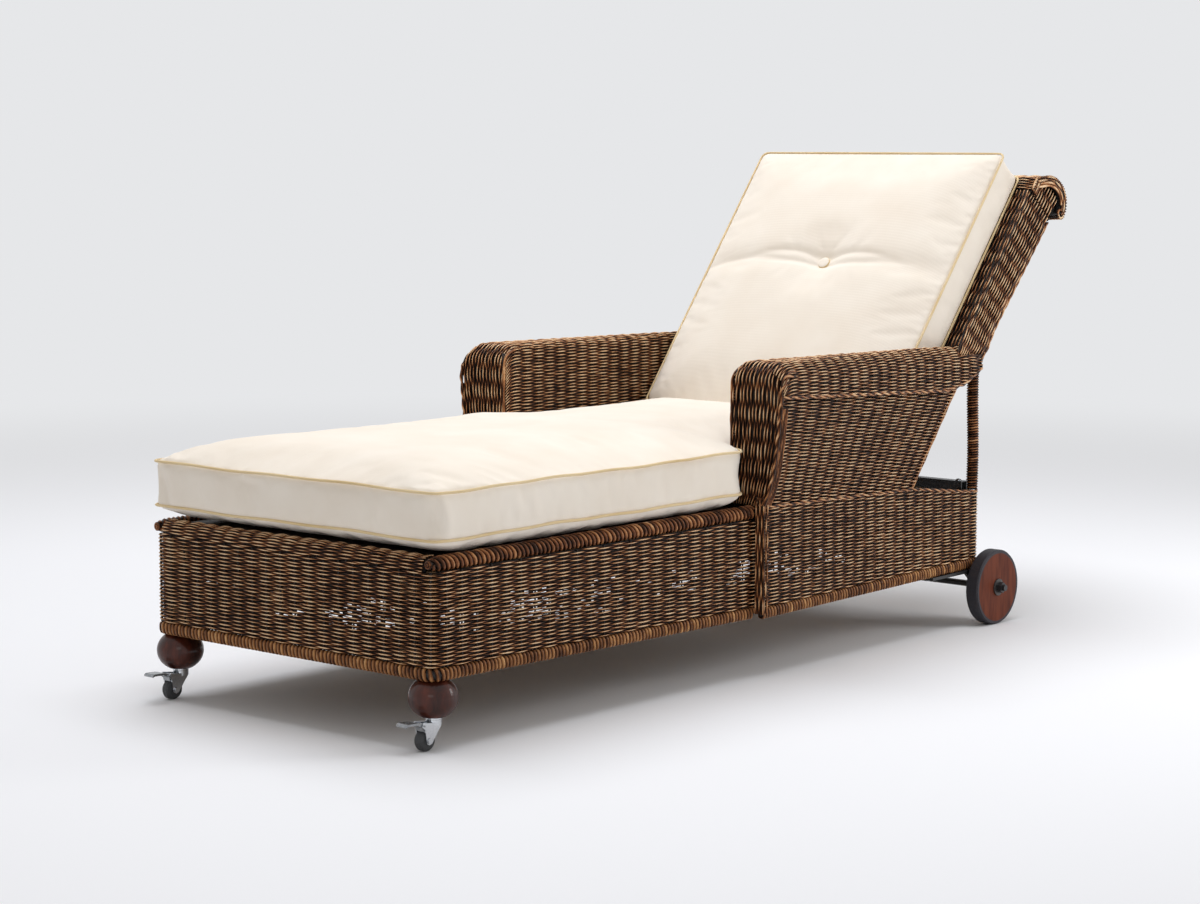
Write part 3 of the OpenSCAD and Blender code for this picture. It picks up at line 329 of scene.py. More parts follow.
class Bundle:
    """Collects tubes and slabs in millimetres, and makes one mesh of them."""

    def __init__(self, seed):
        self.points, self.faces, self.finish, self.uvs, self.stain_and_shade = [], [], [], [], []
        self.count = 0
        self.rng = np.random.default_rng(seed)

    def put(self, points, faces, finish, uvs, stain_and_shade):
        """Adds points and faces; finish is the number of the faces' material."""
        self.points.append(points)
        self.faces.append(faces + self.count)
        self.finish.append(np.full(len(faces), finish, np.int32))
        self.uvs.append(uvs)
        self.stain_and_shade.append(stain_and_shade)
        self.count += len(points)

    def strand(self, line, out, side_r, out_r, sides=4, finish=0, closed=False, lift=0.5):
        """A tube along a line; out points away from the panel, and side_r is its half width along it.
            lift runs from 0 where the strand lies deep to 1 where it stands out, and sets its painted shade
            and highlight."""
        n = len(line)
        if n < 2:
            return
        out = np.broadcast_to(out, line.shape)
        along = np.roll(line, -1, 0) - np.roll(line, 1, 0) if closed else np.gradient(line, axis=0)
        along /= np.linalg.norm(along, axis=1)[:, None] + 1e-9
        side = np.cross(along, out)
        side /= np.linalg.norm(side, axis=1)[:, None] + 1e-9
        turn = np.arange(sides) * 2 * np.pi / sides
        ring = (line[:, None] + (out * out_r)[:, None] * np.cos(turn)[None, :, None]
                + (side * side_r)[:, None] * np.sin(turn)[None, :, None])
        steps = n if closed else n - 1
        i = np.repeat(np.arange(steps), sides)
        k = np.tile(np.arange(sides), steps)
        j, k1 = (i + 1) % n, (k + 1) % sides
        quads = np.stack([i * sides + k, i * sides + k1, j * sides + k1, j * sides + k], 1)
        length = distances(line) * 0.001
        tag = self.rng.uniform(0, 40)
        start_u, end_u = length[i], np.where(j > i, length[j], length[i] + 0.01)
        low, high = tag + 0.01 * k, tag + 0.01 * (k + 1)
        uv = np.stack([np.stack([start_u, low], 1), np.stack([start_u, high], 1),
                       np.stack([end_u, high], 1), np.stack([end_u, low], 1)], 1)
        # How deep each point lies and how squarely each face looks outwards: the second UV map, which paints
        # shade in the hollows and on the flanks and a highlight on the proud outer side
        high_up = np.broadcast_to(np.clip(lift, 0, 1), n)
        facing = np.maximum(np.cos(turn), 0)
        highlight_share = 0.3 + 0.7 * high_up
        stain_and_shade = np.stack([np.stack([high_up[a], highlight_share[a] * facing[b]], 1)
                         for a, b in ((i, k), (i, k1), (j, k1), (j, k))], 1)
        if not closed:
            ends = [[3, 2, 1, 0], [0, 1, 2, 3]] if sides == 4 else [
                [3, 2, 1, 0], [5, 4, 3, 0], [0, 1, 2, 3], [0, 3, 4, 5]]
            caps = np.array(ends)
            caps[len(ends) // 2:] += (n - 1) * sides
            quads = np.concatenate([quads, caps])
            uv = np.concatenate([uv, np.full((len(caps), 4, 2), tag)])
            stain_and_shade = np.concatenate([stain_and_shade, np.full((len(caps), 4, 2), 0.3)])
        self.put(ring.reshape(-1, 3), quads, finish, uv, stain_and_shade)

    def slab(self, front, back, finish=1):
        """A closed slab between two grids of points, the first one on the outer side."""
        rows, cols = front.shape[:2]
        base = np.arange(rows * cols).reshape(rows, cols)
        a, b, c, d = base[:-1, :-1], base[:-1, 1:], base[1:, 1:], base[1:, :-1]
        top = np.stack([a, b, c, d], -1).reshape(-1, 4)
        m = rows * cols
        rim = np.concatenate([base[0, :-1], base[:-1, -1], base[-1, :0:-1], base[:0:-1, 0]])
        rim_next = np.roll(rim, -1)
        walls = np.stack([rim_next, rim, rim + m, rim_next + m], 1)
        quads = np.concatenate([top, top[:, ::-1] + m, walls])
        blank = np.zeros((len(quads), 4, 2))
        self.put(np.concatenate([front.reshape(-1, 3), back.reshape(-1, 3)]), quads, finish, blank, blank)

    def mirror(self, first):
        """Adds the mirror image of the tubes and slabs from number first on."""
        for i in range(first, len(self.points)):
            faces = self.faces[i] - self.faces[i].min()
            self.put(self.points[i] * [-1, 1, 1], faces[:, ::-1], self.finish[i][0], self.uvs[i][:, ::-1],
                     self.stain_and_shade[i][:, ::-1])

    def make(self, name, materials):
        """Turns all that was collected into one object."""
        points = place(np.concatenate(self.points))
        faces = np.concatenate(self.faces)
        mesh = bpy.data.meshes.new(name)
        mesh.vertices.add(len(points))
        mesh.vertices.foreach_set("co", points.ravel())
        mesh.loops.add(faces.size)
        mesh.loops.foreach_set("vertex_index", faces.ravel().astype(np.int32))
        mesh.polygons.add(len(faces))
        mesh.polygons.foreach_set("loop_start", np.arange(0, faces.size, 4, dtype=np.int32))
        mesh.polygons.foreach_set("material_index", np.concatenate(self.finish))
        mesh.update(calc_edges=True)
        for layer_name, values in (("strand", self.uvs), ("stain_and_shade", self.stain_and_shade)):
            layer = mesh.uv_layers.new(name=layer_name)
            layer.data.foreach_set("uv", np.concatenate(values).astype(np.float32).ravel())
        mesh.polygons.foreach_set("use_smooth", np.ones(len(faces), bool))
        mesh.validate()
        for material in materials:
            mesh.materials.append(material)
        made = bpy.data.objects.new(name, mesh)
        bpy.context.scene.collection.objects.link(made)
        print(name, "has", len(faces) * 2, "triangles")
        return made


# %% [markdown]
# A panel is told as a rule that gives the place of any point on its outer face, u along the strands and v
# across them. The strands swing in and out by a few millimetres from one stake to the next, and each row
# swings against the last, which is plain weave. Stakes and a thin dark backing lie behind them, both in a
# deep tone that is painted shade. Real wicker has no backing: its rows are tight, and only where they are
# loose does daylight show. So in a band of the base the backing is made of small cells, and some are left
# out.

# %% Rows, stakes and backing
# Rows' spacing, stakes' spacing, how far a row swings to each side, and a strand's radius
PITCH, STAKE, SWING, STRAND_R = 3.2, 35.0, 2.6, 1.6


def outward(at, u, v, out):
    """Unit vectors away from a panel's face, from how the face runs along u and v."""
    step = 0.5
    n = np.cross(at(u + step, v) - at(u - step, v), at(u, v + step) - at(u, v - step)) * out
    return n / (np.linalg.norm(n, axis=-1, keepdims=True) + 1e-9)


def runs(mask):
    """Starts and ends of the stretches where a mask holds."""
    edge = np.flatnonzero(np.diff(np.concatenate([[0], mask.astype(int), [0]])))
    return [(a, b) for a, b in zip(edge[::2], edge[1::2]) if b - a > 1]


def fitted(length, stake):
    """The stakes' spacing that divides a run evenly."""
    return length / max(1, round(length / stake))


def row_depth(swing, r):
    """How far behind the face a row's middle lies, so that its high spots just reach the face."""
    return swing * 1.05 + r + 0.3


def weave(bundle, at, length, height, out, keep=None, pitch=PITCH, stake=STAKE, swing=SWING, r=STRAND_R,
          v0=0.0, wander=0.35, painted_light_scale=1.0):
    """Rows of a panel. Each wanders a little up and down, and keep says which of its points are made."""
    rng = bundle.rng
    rows = max(1, round(height / pitch))
    stake = fitted(length, stake)
    for row in range(rows):
        u = np.append(np.arange(0, length - 2, stake / 5), length)
        v = v0 + (row + 0.5) * height / rows
        phase = rng.uniform(0, 6.28, 3)
        v = v + wander * (np.sin(u / 41 + phase[0]) + 0.6 * np.sin(u / 17 + phase[1]))
        cell = rng.uniform(0.8, 1.14, len(u) // 5 + 2)[(np.arange(len(u)) + 2) // 5]
        swung = np.cos(np.pi * (u / stake + row))
        depth = -row_depth(swing, r) + swing * cell * swung
        face = at(u, v)
        n = outward(at, u, v, out)
        mask = np.ones(len(u), bool) if keep is None else keep(u, v, face)
        thick = r * rng.uniform(0.9, 1.08)
        for a, b in runs(mask):
            # The swing's lift sets the painted shade and highlight, scaled down by the last argument where a
            # panel is painted darker
            lift = np.clip(0.5 + 0.5 * swung * cell, 0, 1) ** 1.5 * painted_light_scale
            bundle.strand((face + n * depth[:, None])[a:b], n[a:b], thick * 0.9, thick, lift=lift[a:b])


def stakes(bundle, at, length, height, out, keep=None, stake=STAKE, swing=SWING, r=STRAND_R, v0=0.0):
    """The stakes that a panel's rows pass."""
    stake = fitted(length, stake)
    for k in range(1, round(length / stake)):
        v = v0 + np.linspace(0, height, max(3, int(height / 14)))
        u = np.full(len(v), k * stake)
        face = at(u, v)
        n = outward(at, u, v, out)
        mask = np.ones(len(v), bool) if keep is None else keep(u, v, face)
        for a, b in runs(mask):
            # Stakes take the deep tone of painted shade
            bundle.strand((face - n * row_depth(swing, r))[a:b], n[a:b], 2.2, 1.7, finish=1)


def sheets(at, u, v, out, depth=9.2, thick=0.8):
    """The front and the back of a thin board behind a panel, as grids of points."""
    face = at(u, v)
    n = outward(at, u, v, out)
    front, back = face - n * depth, face - n * (depth + thick)
    if out < 0:
        front, back = front[:, ::-1], back[:, ::-1]
    return front, back


# A thin dark board behind the rows, painted shade for the dark seen between them; real wicker has none
def backing(bundle, at, length, height, out, depth=9.2, across=24, up=6, v0=0.0):
    u, v = np.meshgrid(np.linspace(0, length, across), v0 + np.linspace(0, height, up))
    bundle.slab(*sheets(at, u, v, out, depth))


def sheer_backing(bundle, at, length, low, high, out, bare):
    """Backing in cells of about 11 x 5 mm with some left out, more of them in patches and in the band's
    middle. From bare on, along the run, most are left out."""
    across, up = round(length / 11.0), round((high - low) / 5.0)
    u, v = np.meshgrid(np.linspace(0, length, across + 1), np.linspace(low, high, up + 1))
    front, back = sheets(at, u, v, out)
    if out < 0:
        u = u[:, ::-1]
    patch = np.sin(u / 83 + 0.9) + 0.8 * np.sin(u / 31 + 1) + 0.6 * np.sin(v / 7 + u / 19)
    share = np.where(u < bare, np.clip(0.2 + 0.2 * patch, 0.04, 0.6), 0.8)
    share *= np.sin(np.pi * (v - low) / (high - low))
    for j in range(up):
        for i in range(across):
            if bundle.rng.random() > share[j, i]:
                bundle.slab(front[j:j + 2, i:i + 2], back[j:j + 2, i:i + 2])


def panel(bundle, at, length, height, out, keep=None, back=None, open_band=None, bare=1e9, up=6, **how):
    """Rows, stakes and backing of one panel. The backing may have a rule of its own and an open band."""
    fit = {k: how[k] for k in ("stake", "swing", "r", "v0") if k in how}
    weave(bundle, at, length, height, out, keep, **how)
    stakes(bundle, at, length, height, out, keep, **fit)
    low, high = open_band or (height, height)
    backing(bundle, back or at, length, low, out, up=up, v0=how.get("v0", 0.0))
    if open_band:
        sheer_backing(bundle, back or at, length, low, high, out, bare)
        backing(bundle, back or at, length, height - high, out, v0=how.get("v0", 0.0) + high)


# %% [markdown]
# Poles and borders are wrapped: one to three strands wind round them side by side. The same tube makes the
# windings, on a path that runs round a rounded section while it moves along the pole. Most pieces come in
# pairs, so the left one is made and mirrored.

# %% Windings
def wrap(bundle, path, out, half_out, half_up, pitch, side_r, out_r, square=2.0, starts=1, sides=4,
         around=12, lift=0.5, tip=0.0):
    """Winds strands round a pole. path is its middle line, and out points to one side of it all along. The
    section is round at square=2 and squarer above, and the pole narrows over the length tip at its start."""
    def girth(distance):
        return 1 - 0.4 * (tip > 0) * np.clip(1 - distance / max(tip, 1), 0, 1) ** 2

    run = distances(path)
    total = run[-1]
    along = unit(np.gradient(path, axis=0))
    out = np.broadcast_to(out, path.shape)
    lead = pitch * starts
    for k in range(starts):
        count = int(total / lead * around)
        t = np.linspace(0, total, count)
        angle = 2 * np.pi * (t / lead + k / starts)
        mid = np.stack([np.interp(t, run, path[:, c]) for c in range(3)], 1)
        go = np.stack([np.interp(t, run, along[:, c]) for c in range(3)], 1)
        one = unit(np.stack([np.interp(t, run, out[:, c]) for c in range(3)], 1))
        two = np.cross(go, one)
        c, s = np.cos(angle), np.sin(angle)
        shape = (np.abs(c) ** square + np.abs(s) ** square) ** (-1 / square)
        jitter = 1 + bundle.rng.uniform(-0.015, 0.015, count)
        shape = shape * jitter * girth(t)
        a, b = (half_out - out_r) * shape * c, (half_up - out_r) * shape * s
        flat_c, flat_s = np.sign(c) * np.abs(c) ** (square - 1), np.sign(s) * np.abs(s) ** (square - 1)
        n = unit(one * flat_c[:, None] + two * flat_s[:, None])
        bundle.strand(mid + one * a[:, None] + two * b[:, None], n, side_r, out_r, sides, lift=lift)
    # The pole under the windings takes the deep tone of painted shade
    slim = girth(run)[:, None]
    bundle.strand(path, out, (half_up - out_r) * slim, (half_out - out_r) * slim, 6, 1)


def settle(piece, body, finish_slot, *replaced):
    """Says what a finished piece rides on and hides the CAD nodes that it stands for; finish_slot is not
    used.
    """
    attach(piece, body)
    if replaced:
        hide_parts(*replaced)


WOVEN = (wicker, wicker_dark)
LEFTWARD = np.array([1.0, 0.0, 0.0])


def both_sides(bundle, name, *replaced, finish_slot="wicker"):
    """Makes a bundle as the left piece, and a right one as its mirror image with a mesh of its own."""
    left = bundle.make(name + "_left", WOVEN)
    settle(left, "lounger", finish_slot, *replaced)
    mesh = left.data.copy()
    mesh.name = name + "_right"
    mesh.transform(Matrix.Scale(-1, 4, (1, 0, 0)))
    mesh.flip_normals()
    right = bpy.data.objects.new(name + "_right", mesh)
    bpy.context.scene.collection.objects.link(right)
    settle(right, "lounger", finish_slot, *[node.replace("_left", "_right") for node in replaced])


# %% [markdown]
# ## The base
# The foot section's weave runs on round its two corners as one band, so it's made as one panel along a path
# round the foot end. The bottom edge follows the border, which sags by 6 mm towards the middle.

# %% Foot section
def arc_points(x, s, r, start_deg, end_deg, count):
    """Points on an arc of radius r round a middle."""
    a = np.radians(np.linspace(start_deg, end_deg, count))
    return np.stack([x + r * np.cos(a), s + r * np.sin(a)], 1)


def along_path(points):
    """A rule for the points along a polyline by their distance, and its length."""
    run = distances(points)

    def at(t):
        return np.interp(t, run, points[:, 0]), np.interp(t, run, points[:, 1])
    return at, run[-1]


def round_end(start, half, edge, middle, r, quarter, count):
    """A line in plan from one seam round an end of the base to the other seam. It starts half from the axis
    at start, and each corner has its middle edge from the axis and turns by quarter degrees."""
    return np.concatenate([
        [[half, start]], arc_points(edge, middle, r, 0, quarter, count),
        arc_points(-edge, middle, r, quarter, 2 * quarter, count), [[-half, start]]])


FOOT_TURN, HEAD_TURN = FOOT_HALF - CORNER, HEAD_HALF - HEAD_CORNER


def foot_line(start):
    return round_end(start, FOOT_HALF, FOOT_TURN, CORNER, CORNER, -90, 8)


def head_line(start):
    return round_end(start, CHAIR_HALF, HEAD_TURN, BASE_LEN - HEAD_CORNER, HEAD_CORNER, 90, 7)


BORDER_H = 22.0
RIM_LOW = BASE_TOP - 26.0
FOOT_RISE = 154.0


def foot_low(s):
    """Height of the foot section's lower edge."""
    return UNDER + BORDER_H - 6 * np.clip((s - 66) / (FOOT_LEN - 66), 0, 1)


foot_path, foot_run = along_path(foot_line(FOOT_LEN + 3))


def foot_band(u, v):
    x, s = foot_path(u)
    low = foot_low(s)
    return np.stack([x, s, low + v * (RIM_LOW - low) / FOOT_RISE], -1)


foot_weave = Bundle(11)
panel(foot_weave, foot_band, foot_run, FOOT_RISE, -1, open_band=(34, 104), bare=1545)
roll_path, roll_run = along_path(np.concatenate([
    [[0, RIM_LOW]], arc_points(20, BASE_TOP - 20, 20, 180, 90, 9), [[30, BASE_TOP]]]))


def foot_roll(u, v):
    s, z = roll_path(v)
    return np.stack([u - FOOT_TURN, s + 0 * u, z + 0 * u], -1)


panel(foot_weave, foot_roll, 2 * FOOT_TURN, roll_run, 1)
settle(foot_weave.make("foot_section_weave", WOVEN), "lounger", "wicker",
       "foot_apron", "foot_side_left", "foot_side_right")

# %% [markdown]
# The chair section is a second band, round the head end. Its top edge slopes down under the arm, then drops
# to the rail behind the back, so rows end where they meet that slope, and an edge strand covers their ends.

# %% Chair section
SHOULDER_S = 1337.2
CHAIR_RISE = 186.0


def chair_low(s):
    return UNDER + BORDER_H - 6 * np.clip((BASE_LEN - CORNER - s) / (BASE_LEN - CORNER - FOOT_LEN), 0, 1)


def chair_top(s):
    return np.interp(s, [845, SHOULDER_S, 1562, 1600], [317, 301, 275, 275])


head_path, head_run = along_path(head_line(FOOT_LEN + 4))


def chair_band(u, v):
    x, s = head_path(u)
    return np.stack([x, s, chair_low(s) + v], -1)


def chair_backing(u, v):
    x, s = head_path(u)
    low = chair_low(s)
    return np.stack([x, s, low + v * (chair_top(s) - 2 - low) / CHAIR_RISE], -1)


def under_slope(u, v, face):
    return face[..., 2] < chair_top(face[..., 1]) - 2


chair_weave = Bundle(12)
panel(chair_weave, chair_band, head_run, CHAIR_RISE, 1, keep=under_slope, back=chair_backing,
      open_band=(32, 98), bare=1290)
for side in (1, -1):
    s = np.linspace(FOOT_LEN + 6, BASE_LEN - 14, 120)
    for k in range(2):
        wave = np.sin(s / 9 + k * math.pi)
        line = np.stack([side * (chair_half(s) - 3.0 + 0.9 * wave), s,
                         chair_top(s) - 2.6 + 1.9 * np.cos(s / 9 + k * math.pi)], 1)
        chair_weave.strand(line, [side, 0.0, 0.3], 2.0, 2.2, 6, lift=0.36 + 0.3 * wave)
settle(chair_weave.make("chair_section_weave", WOVEN), "lounger", "wicker",
       "head_apron", "chair_side_left", "chair_side_right")

# %% [markdown]
# Each seam between the sections has a post with upright strands, which stands out like a thin pilaster.

# %% Seam posts
seam = Bundle(13)
z = np.linspace(UNDER + 3, 332, 100)
for k in range(5):
    wave = np.sin(z / 9.5 + k * np.pi)
    line = np.stack([FOOT_HALF - 0.6 + 4.3 * k + 0.9 * wave, FOOT_LEN + 2.2 - 0.9 * wave, z], 1)
    seam.strand(line, [0.0, -1.0, 0.0], 2.0, 2.0, 6, lift=0.34 + 0.34 * wave)
for k in range(3):
    wave = np.sin(z / 9.5 + k * np.pi)
    line = np.stack([CHAIR_HALF - 2.0 + 0.7 * wave, FOOT_LEN + 3.4 + 4.3 * k + 0.5 * wave, z], 1)
    seam.strand(line, LEFTWARD, 2.1, 2.3, 6, lift=0.34 + 0.34 * wave)
# A thin dark sheet behind the post's strands, painted shade
sheet = np.array([[[x, FOOT_LEN + 4.5, z] for x in (326.0, 357.0)] for z in (UNDER + 4, 314.0)])
seam.slab(sheet, sheet + [0, 8, 0])
both_sides(seam, "seam_post", "front_posts")

# %% [markdown]
# A stout pole tops each side of the foot section, with three strands wound round it at a slant. It narrows
# at the foot end, where two small coils close it.

# %% Side rims
rim = Bundle(14)
RIM_X, RIM_Z = FOOT_HALF - 13, BASE_TOP - 13
s = np.linspace(6, FOOT_LEN, 90)
rim_line = np.stack([np.full(90, RIM_X), s, np.full(90, RIM_Z)], 1)
wrap(rim, rim_line, LEFTWARD, 13.2, 13.2, 10.4, 4.1, 3.4, starts=3, sides=6, around=18, lift=0.4, tip=26.0)
turn_angle = np.linspace(0, 2 * math.pi, 18, endpoint=False)
for radius in (5.6, 1.6):
    coil = np.column_stack([RIM_X + radius * np.cos(turn_angle), np.full(18, 3.6 - 0.12 * (10.2 - radius)),
                            RIM_Z + radius * np.sin(turn_angle)])
    rim.strand(coil, [0.0, -1.0, 0.0], 2.5, 3.0, 6, closed=True, lift=0.4)
both_sides(rim, "side_rim_wraps", "side_rim_left", finish_slot="wrapped_border")

# %% [markdown]
# The bottom border is the palest part: flat peel wound closely round a squarish pole, all round the base.

# %% Bottom border
def border_line(points, low, inset=8.0):
    """Middle line of a border, and the outward direction at each of its points."""
    at, length = along_path(points)
    t = np.linspace(0, length, int(length / 6))
    x, s = at(t)
    go = unit(np.gradient(np.stack([x, s], 1), axis=0))
    side = np.stack([go[:, 1], -go[:, 0]], 1)
    out = np.where((side * np.stack([x, s - BASE_LEN / 2], 1)).sum(1)[:, None] > 0, side, -side)
    line = np.stack([x - out[:, 0] * inset, s - out[:, 1] * inset, low(s) - BORDER_H / 2], 1)
    return line, np.concatenate([out, np.zeros((len(t), 1))], 1)


border = Bundle(15)
for points, low in ((foot_line(FOOT_LEN), foot_low), (head_line(FOOT_LEN + 6), chair_low)):
    line, out = border_line(points, low)
    wrap(border, line, out, 8.4, 11.0, 8.7, 4.1, 2.2, square=3.5, sides=6, around=16)
settle(border.make("bottom_border_wraps", [wrap_tan, wicker_dark]), "lounger", "wrapped_border",
       "end_borders", "border_left", "border_right")

# %% [markdown]
# ## The arms
# The outer side panel leans out from the base to the arm's lip and tapers to the back's rear edge. It's a
# ruled surface: its rows run from a front edge to a slanted rear edge.

# %% Side panels
LOW_FRONT, LOW_REAR = np.array([359.6, 845, 317]), np.array([344.0, SHOULDER_S, 301])
TOP_FRONT, TOP_REAR = np.array([388.0, 845, 514]), np.array([343.4, 1487.5, 487])
SIDE_RUN, SIDE_RISE = 570.0, 197.0


def side_face(u, v):
    t = np.clip(u / SIDE_RUN, -0.01, 1.01)[..., None]
    w = (v / SIDE_RISE)[..., None]
    low = LOW_FRONT + (LOW_REAR - LOW_FRONT) * t
    top = TOP_FRONT + (TOP_REAR - TOP_FRONT) * t
    return low + (top - low) * w


side = Bundle(16)
panel(side, side_face, SIDE_RUN, SIDE_RISE, 1)
rear_v = np.linspace(0, SIDE_RISE, 50)
rear_edge = side_face(np.full(50, SIDE_RUN), rear_v)
rear_out = outward(side_face, np.full(50, SIDE_RUN), rear_v, 1)
for k in range(2):
    wave = 0.6 * np.sin(rear_v / 7 + k * np.pi)[:, None]
    side.strand(rear_edge + rear_out * (wave - 4) + np.array([0, 1.0 - 4.4 * k, 0]), rear_out, 2.3, 2.6, 6)
both_sides(side, "side_panel_weave", "side_panel_left")

# %% [markdown]
# An arm is woven in two directions. Strands climb its front face, bend over the nose and run back along its
# top, side by side with the outer edge. A second set runs lengthwise round the outer roll and down to the
# lip. The rules below give the arm's width and height at any distance from the foot end.

# %% Arm shape
TOP_Z, NOSE_R, OUT_R, IN_R = 578.0, 42.0, 36.0, 22.0
NOSE_S = FOOT_LEN + NOSE_R
# Inner and outer edge at the front, and the length over which the arm tapers to the base's end
ARM_IN, ARM_OUT, TAPER = 279, 399, BASE_LEN - FOOT_LEN


def arm_in(s):
    return ARM_IN + 43 * (s - FOOT_LEN) / TAPER


def arm_out(s):
    return ARM_OUT - 48 * (s - FOOT_LEN) / TAPER


def arm_top(s):
    nose = TOP_Z - NOSE_R + np.sqrt(np.maximum(NOSE_R ** 2 - np.maximum(NOSE_S - s, 0) ** 2, 0))
    return np.minimum(nose, np.interp(s, [NOSE_S, 1427, 1499, 1584], [578, 574, 572, 566]))


def arm_lip(s):
    return np.interp(s, [835, 877, 1150, 1427, 1499, 1584], [512, 510, 497, 484, 493, 526])


def rounded(x, s):
    """How far the arm's top has dropped at x, near its inner and outer edges."""
    outer = np.clip(x - (arm_out(s) - OUT_R), 0, OUT_R)
    inner = np.clip(arm_in(s) + IN_R - x, 0, IN_R)
    return (OUT_R - np.sqrt(np.maximum(OUT_R ** 2 - outer ** 2, 0))
            + IN_R - np.sqrt(np.maximum(IN_R ** 2 - inner ** 2, 0)))


def back_plane(z):
    """Distance from the foot end to the back's front plane, at a height."""
    return BACK_FOOT + (z - DECK) * math.tan(RECLINE)


def front_outer(z):
    """Outer edge of the arm's front face, which leans out like the side panel."""
    return np.interp(z, [317, 335, 377, 434, 512, 600], [360, 369, 382, 391, 399, 399])


# How far the strands climb the front, bend over the nose and run back, and the arm's width
FRONT_RISE, NOSE_RUN, TOP_RUN = 219.0, 66.0, 650.0
ARM_W = 120.0


def arm_over(u, v):
    """Face of the strands that climb the front and run back; v is the distance from the outer edge."""
    share = 1 - v / ARM_W
    x_nose = ARM_IN + share * ARM_W
    drop = rounded(np.minimum(x_nose, ARM_OUT - 0.5), FOOT_LEN + 0 * u)
    rise = np.clip(u / FRONT_RISE, 0, 1)
    z_front = BASE_TOP + rise * (FRONT_RISE - drop)
    x_front = ARM_IN + share * (front_outer(z_front) - ARM_IN)
    bend = np.clip((u - FRONT_RISE) / NOSE_RUN, 0, 1) * math.pi / 2
    s_nose = FOOT_LEN + NOSE_R * (1 - np.cos(bend))
    s_top = s_nose + np.maximum(u - FRONT_RISE - NOSE_RUN, 0)
    x_top = np.where(u > FRONT_RISE, arm_out(s_top) - v, x_front)
    ease = np.clip((u - FRONT_RISE) / 40, 0, 1)
    x = x_front * (1 - ease) + x_top * ease
    z_nose = BASE_TOP + FRONT_RISE - drop + NOSE_R * np.sin(bend)
    drop_top = rounded(np.clip(x, arm_in(s_top) + 0.5, arm_out(s_top) - 0.5), s_top)
    z_top = arm_top(s_top) - drop_top
    settle_in = np.clip((u - FRONT_RISE - 30) / 50, 0, 1)
    z = np.where(u < FRONT_RISE, z_front, z_nose * (1 - settle_in) + z_top * settle_in)
    return np.stack([x, s_top, z], -1)


def over_keep(u, v, face):
    x, s, z = face[..., 0], face[..., 1], face[..., 2]
    on_top = u > FRONT_RISE + NOSE_RUN * 0.8
    inside = (x > arm_in(s) + 3) & (s < back_plane(z) + 4) & (v > 27)
    return ~on_top | inside


# %% [markdown]
# The roll's rows are measured from a line on the arm's top, 27 mm in from its outer edge, out over the edge
# and down to the lip. The lip itself is a thick strand.

# %% Arm weave
ROLL_IN = 27.0
ROLL_DROP = 130.0
END_R = 24.0
END_RUN = 1560 - FOOT_LEN - 7.0
ROLL_RUN = END_RUN + END_R * math.pi / 2 + 4


def arm_roll(u, v):
    bend_start = math.asin((OUT_R - ROLL_IN) / OUT_R)
    angle = np.clip(bend_start + v / OUT_R, 0, math.pi / 2)
    below = np.maximum(v - (math.pi / 2 - bend_start) * OUT_R, 0)
    inset = OUT_R * (1 - np.sin(angle))
    turned = np.clip((u - END_RUN) / END_R, 0, math.pi / 2)
    past = np.maximum(u - END_RUN - END_R * math.pi / 2, 0)
    s_edge = FOOT_LEN + 7 + np.minimum(u, END_RUN) + END_R * np.sin(turned)
    x = arm_out(s_edge) - END_R * (1 - np.cos(turned)) - past - inset * np.cos(turned)
    z = arm_top(s_edge) - OUT_R + OUT_R * np.cos(angle) - below
    return np.stack([x, s_edge - inset * np.sin(turned), z], -1)


def roll_keep(u, v, face):
    return (face[..., 2] > arm_lip(face[..., 1]) + 3) & ((u < END_RUN) | (v > 14))


def roll_backing(u, v):
    s = FOOT_LEN + 7 + np.minimum(u, END_RUN + END_R)
    over = (math.pi / 2 - math.asin((OUT_R - ROLL_IN) / OUT_R)) * OUT_R
    reach = over + arm_top(s) - OUT_R - arm_lip(s) - 3
    return arm_roll(u, v * reach / ROLL_DROP)


arm = Bundle(17)
weave(arm, arm_over, FRONT_RISE + NOSE_RUN + TOP_RUN, ARM_W, 1, over_keep,
      pitch=4.25, stake=33.0, r=2.0, swing=2.4, wander=0.9, painted_light_scale=0.85)
backing(arm, arm_over, FRONT_RISE + NOSE_RUN, ARM_W - 8, 1, across=30, v0=4.0)
panel(arm, arm_roll, ROLL_RUN, ROLL_DROP, -1, keep=roll_keep, back=roll_backing)
# Two strands twisted round each other along the lip, then two up the front's outer edge
u = np.linspace(0, ROLL_RUN, 160)
edge_line = arm_roll(u, np.full(160, 60.0))
edge_out = outward(arm_roll, u, np.full(160, 60.0), -1)
edge_line[:, 2] = arm_lip(edge_line[:, 1]) + 3.4
for k in range(2):
    wave, swing = np.sin(u / 9 + k * math.pi), np.cos(u / 9 + k * math.pi)
    line = edge_line + edge_out * (0.9 * wave - 3.6)[:, None] + np.outer(swing, [0, 0, 2.1])
    arm.strand(line, edge_out, 2.3, 2.5, 6, lift=0.36 + 0.3 * wave)
u = np.linspace(0, FRONT_RISE + NOSE_RUN + 6, 90)
for k in range(2):
    wave = np.sin(u / 10 + k * math.pi)
    line = arm_over(u, 3.4 + 2.0 * np.cos(u / 10 + k * math.pi))
    n = outward(arm_over, u, np.full(90, 3.4), 1)
    arm.strand(line + n * (0.9 * wave - 1.6)[:, None], n, 2.3, 2.4, 6, lift=0.36 + 0.3 * wave)
# Five strands behind the front's outer edge, which close it against the side panel
u = np.linspace(0, 200, 50)
for k in range(5):
    n = outward(arm_over, u, np.full(50, 3.0), 1)
    arm.strand(arm_over(u, np.full(50, 2.4)) - n * (5.2 + 4.0 * k), LEFTWARD, 2.3, 2.0, 6, lift=0.35)
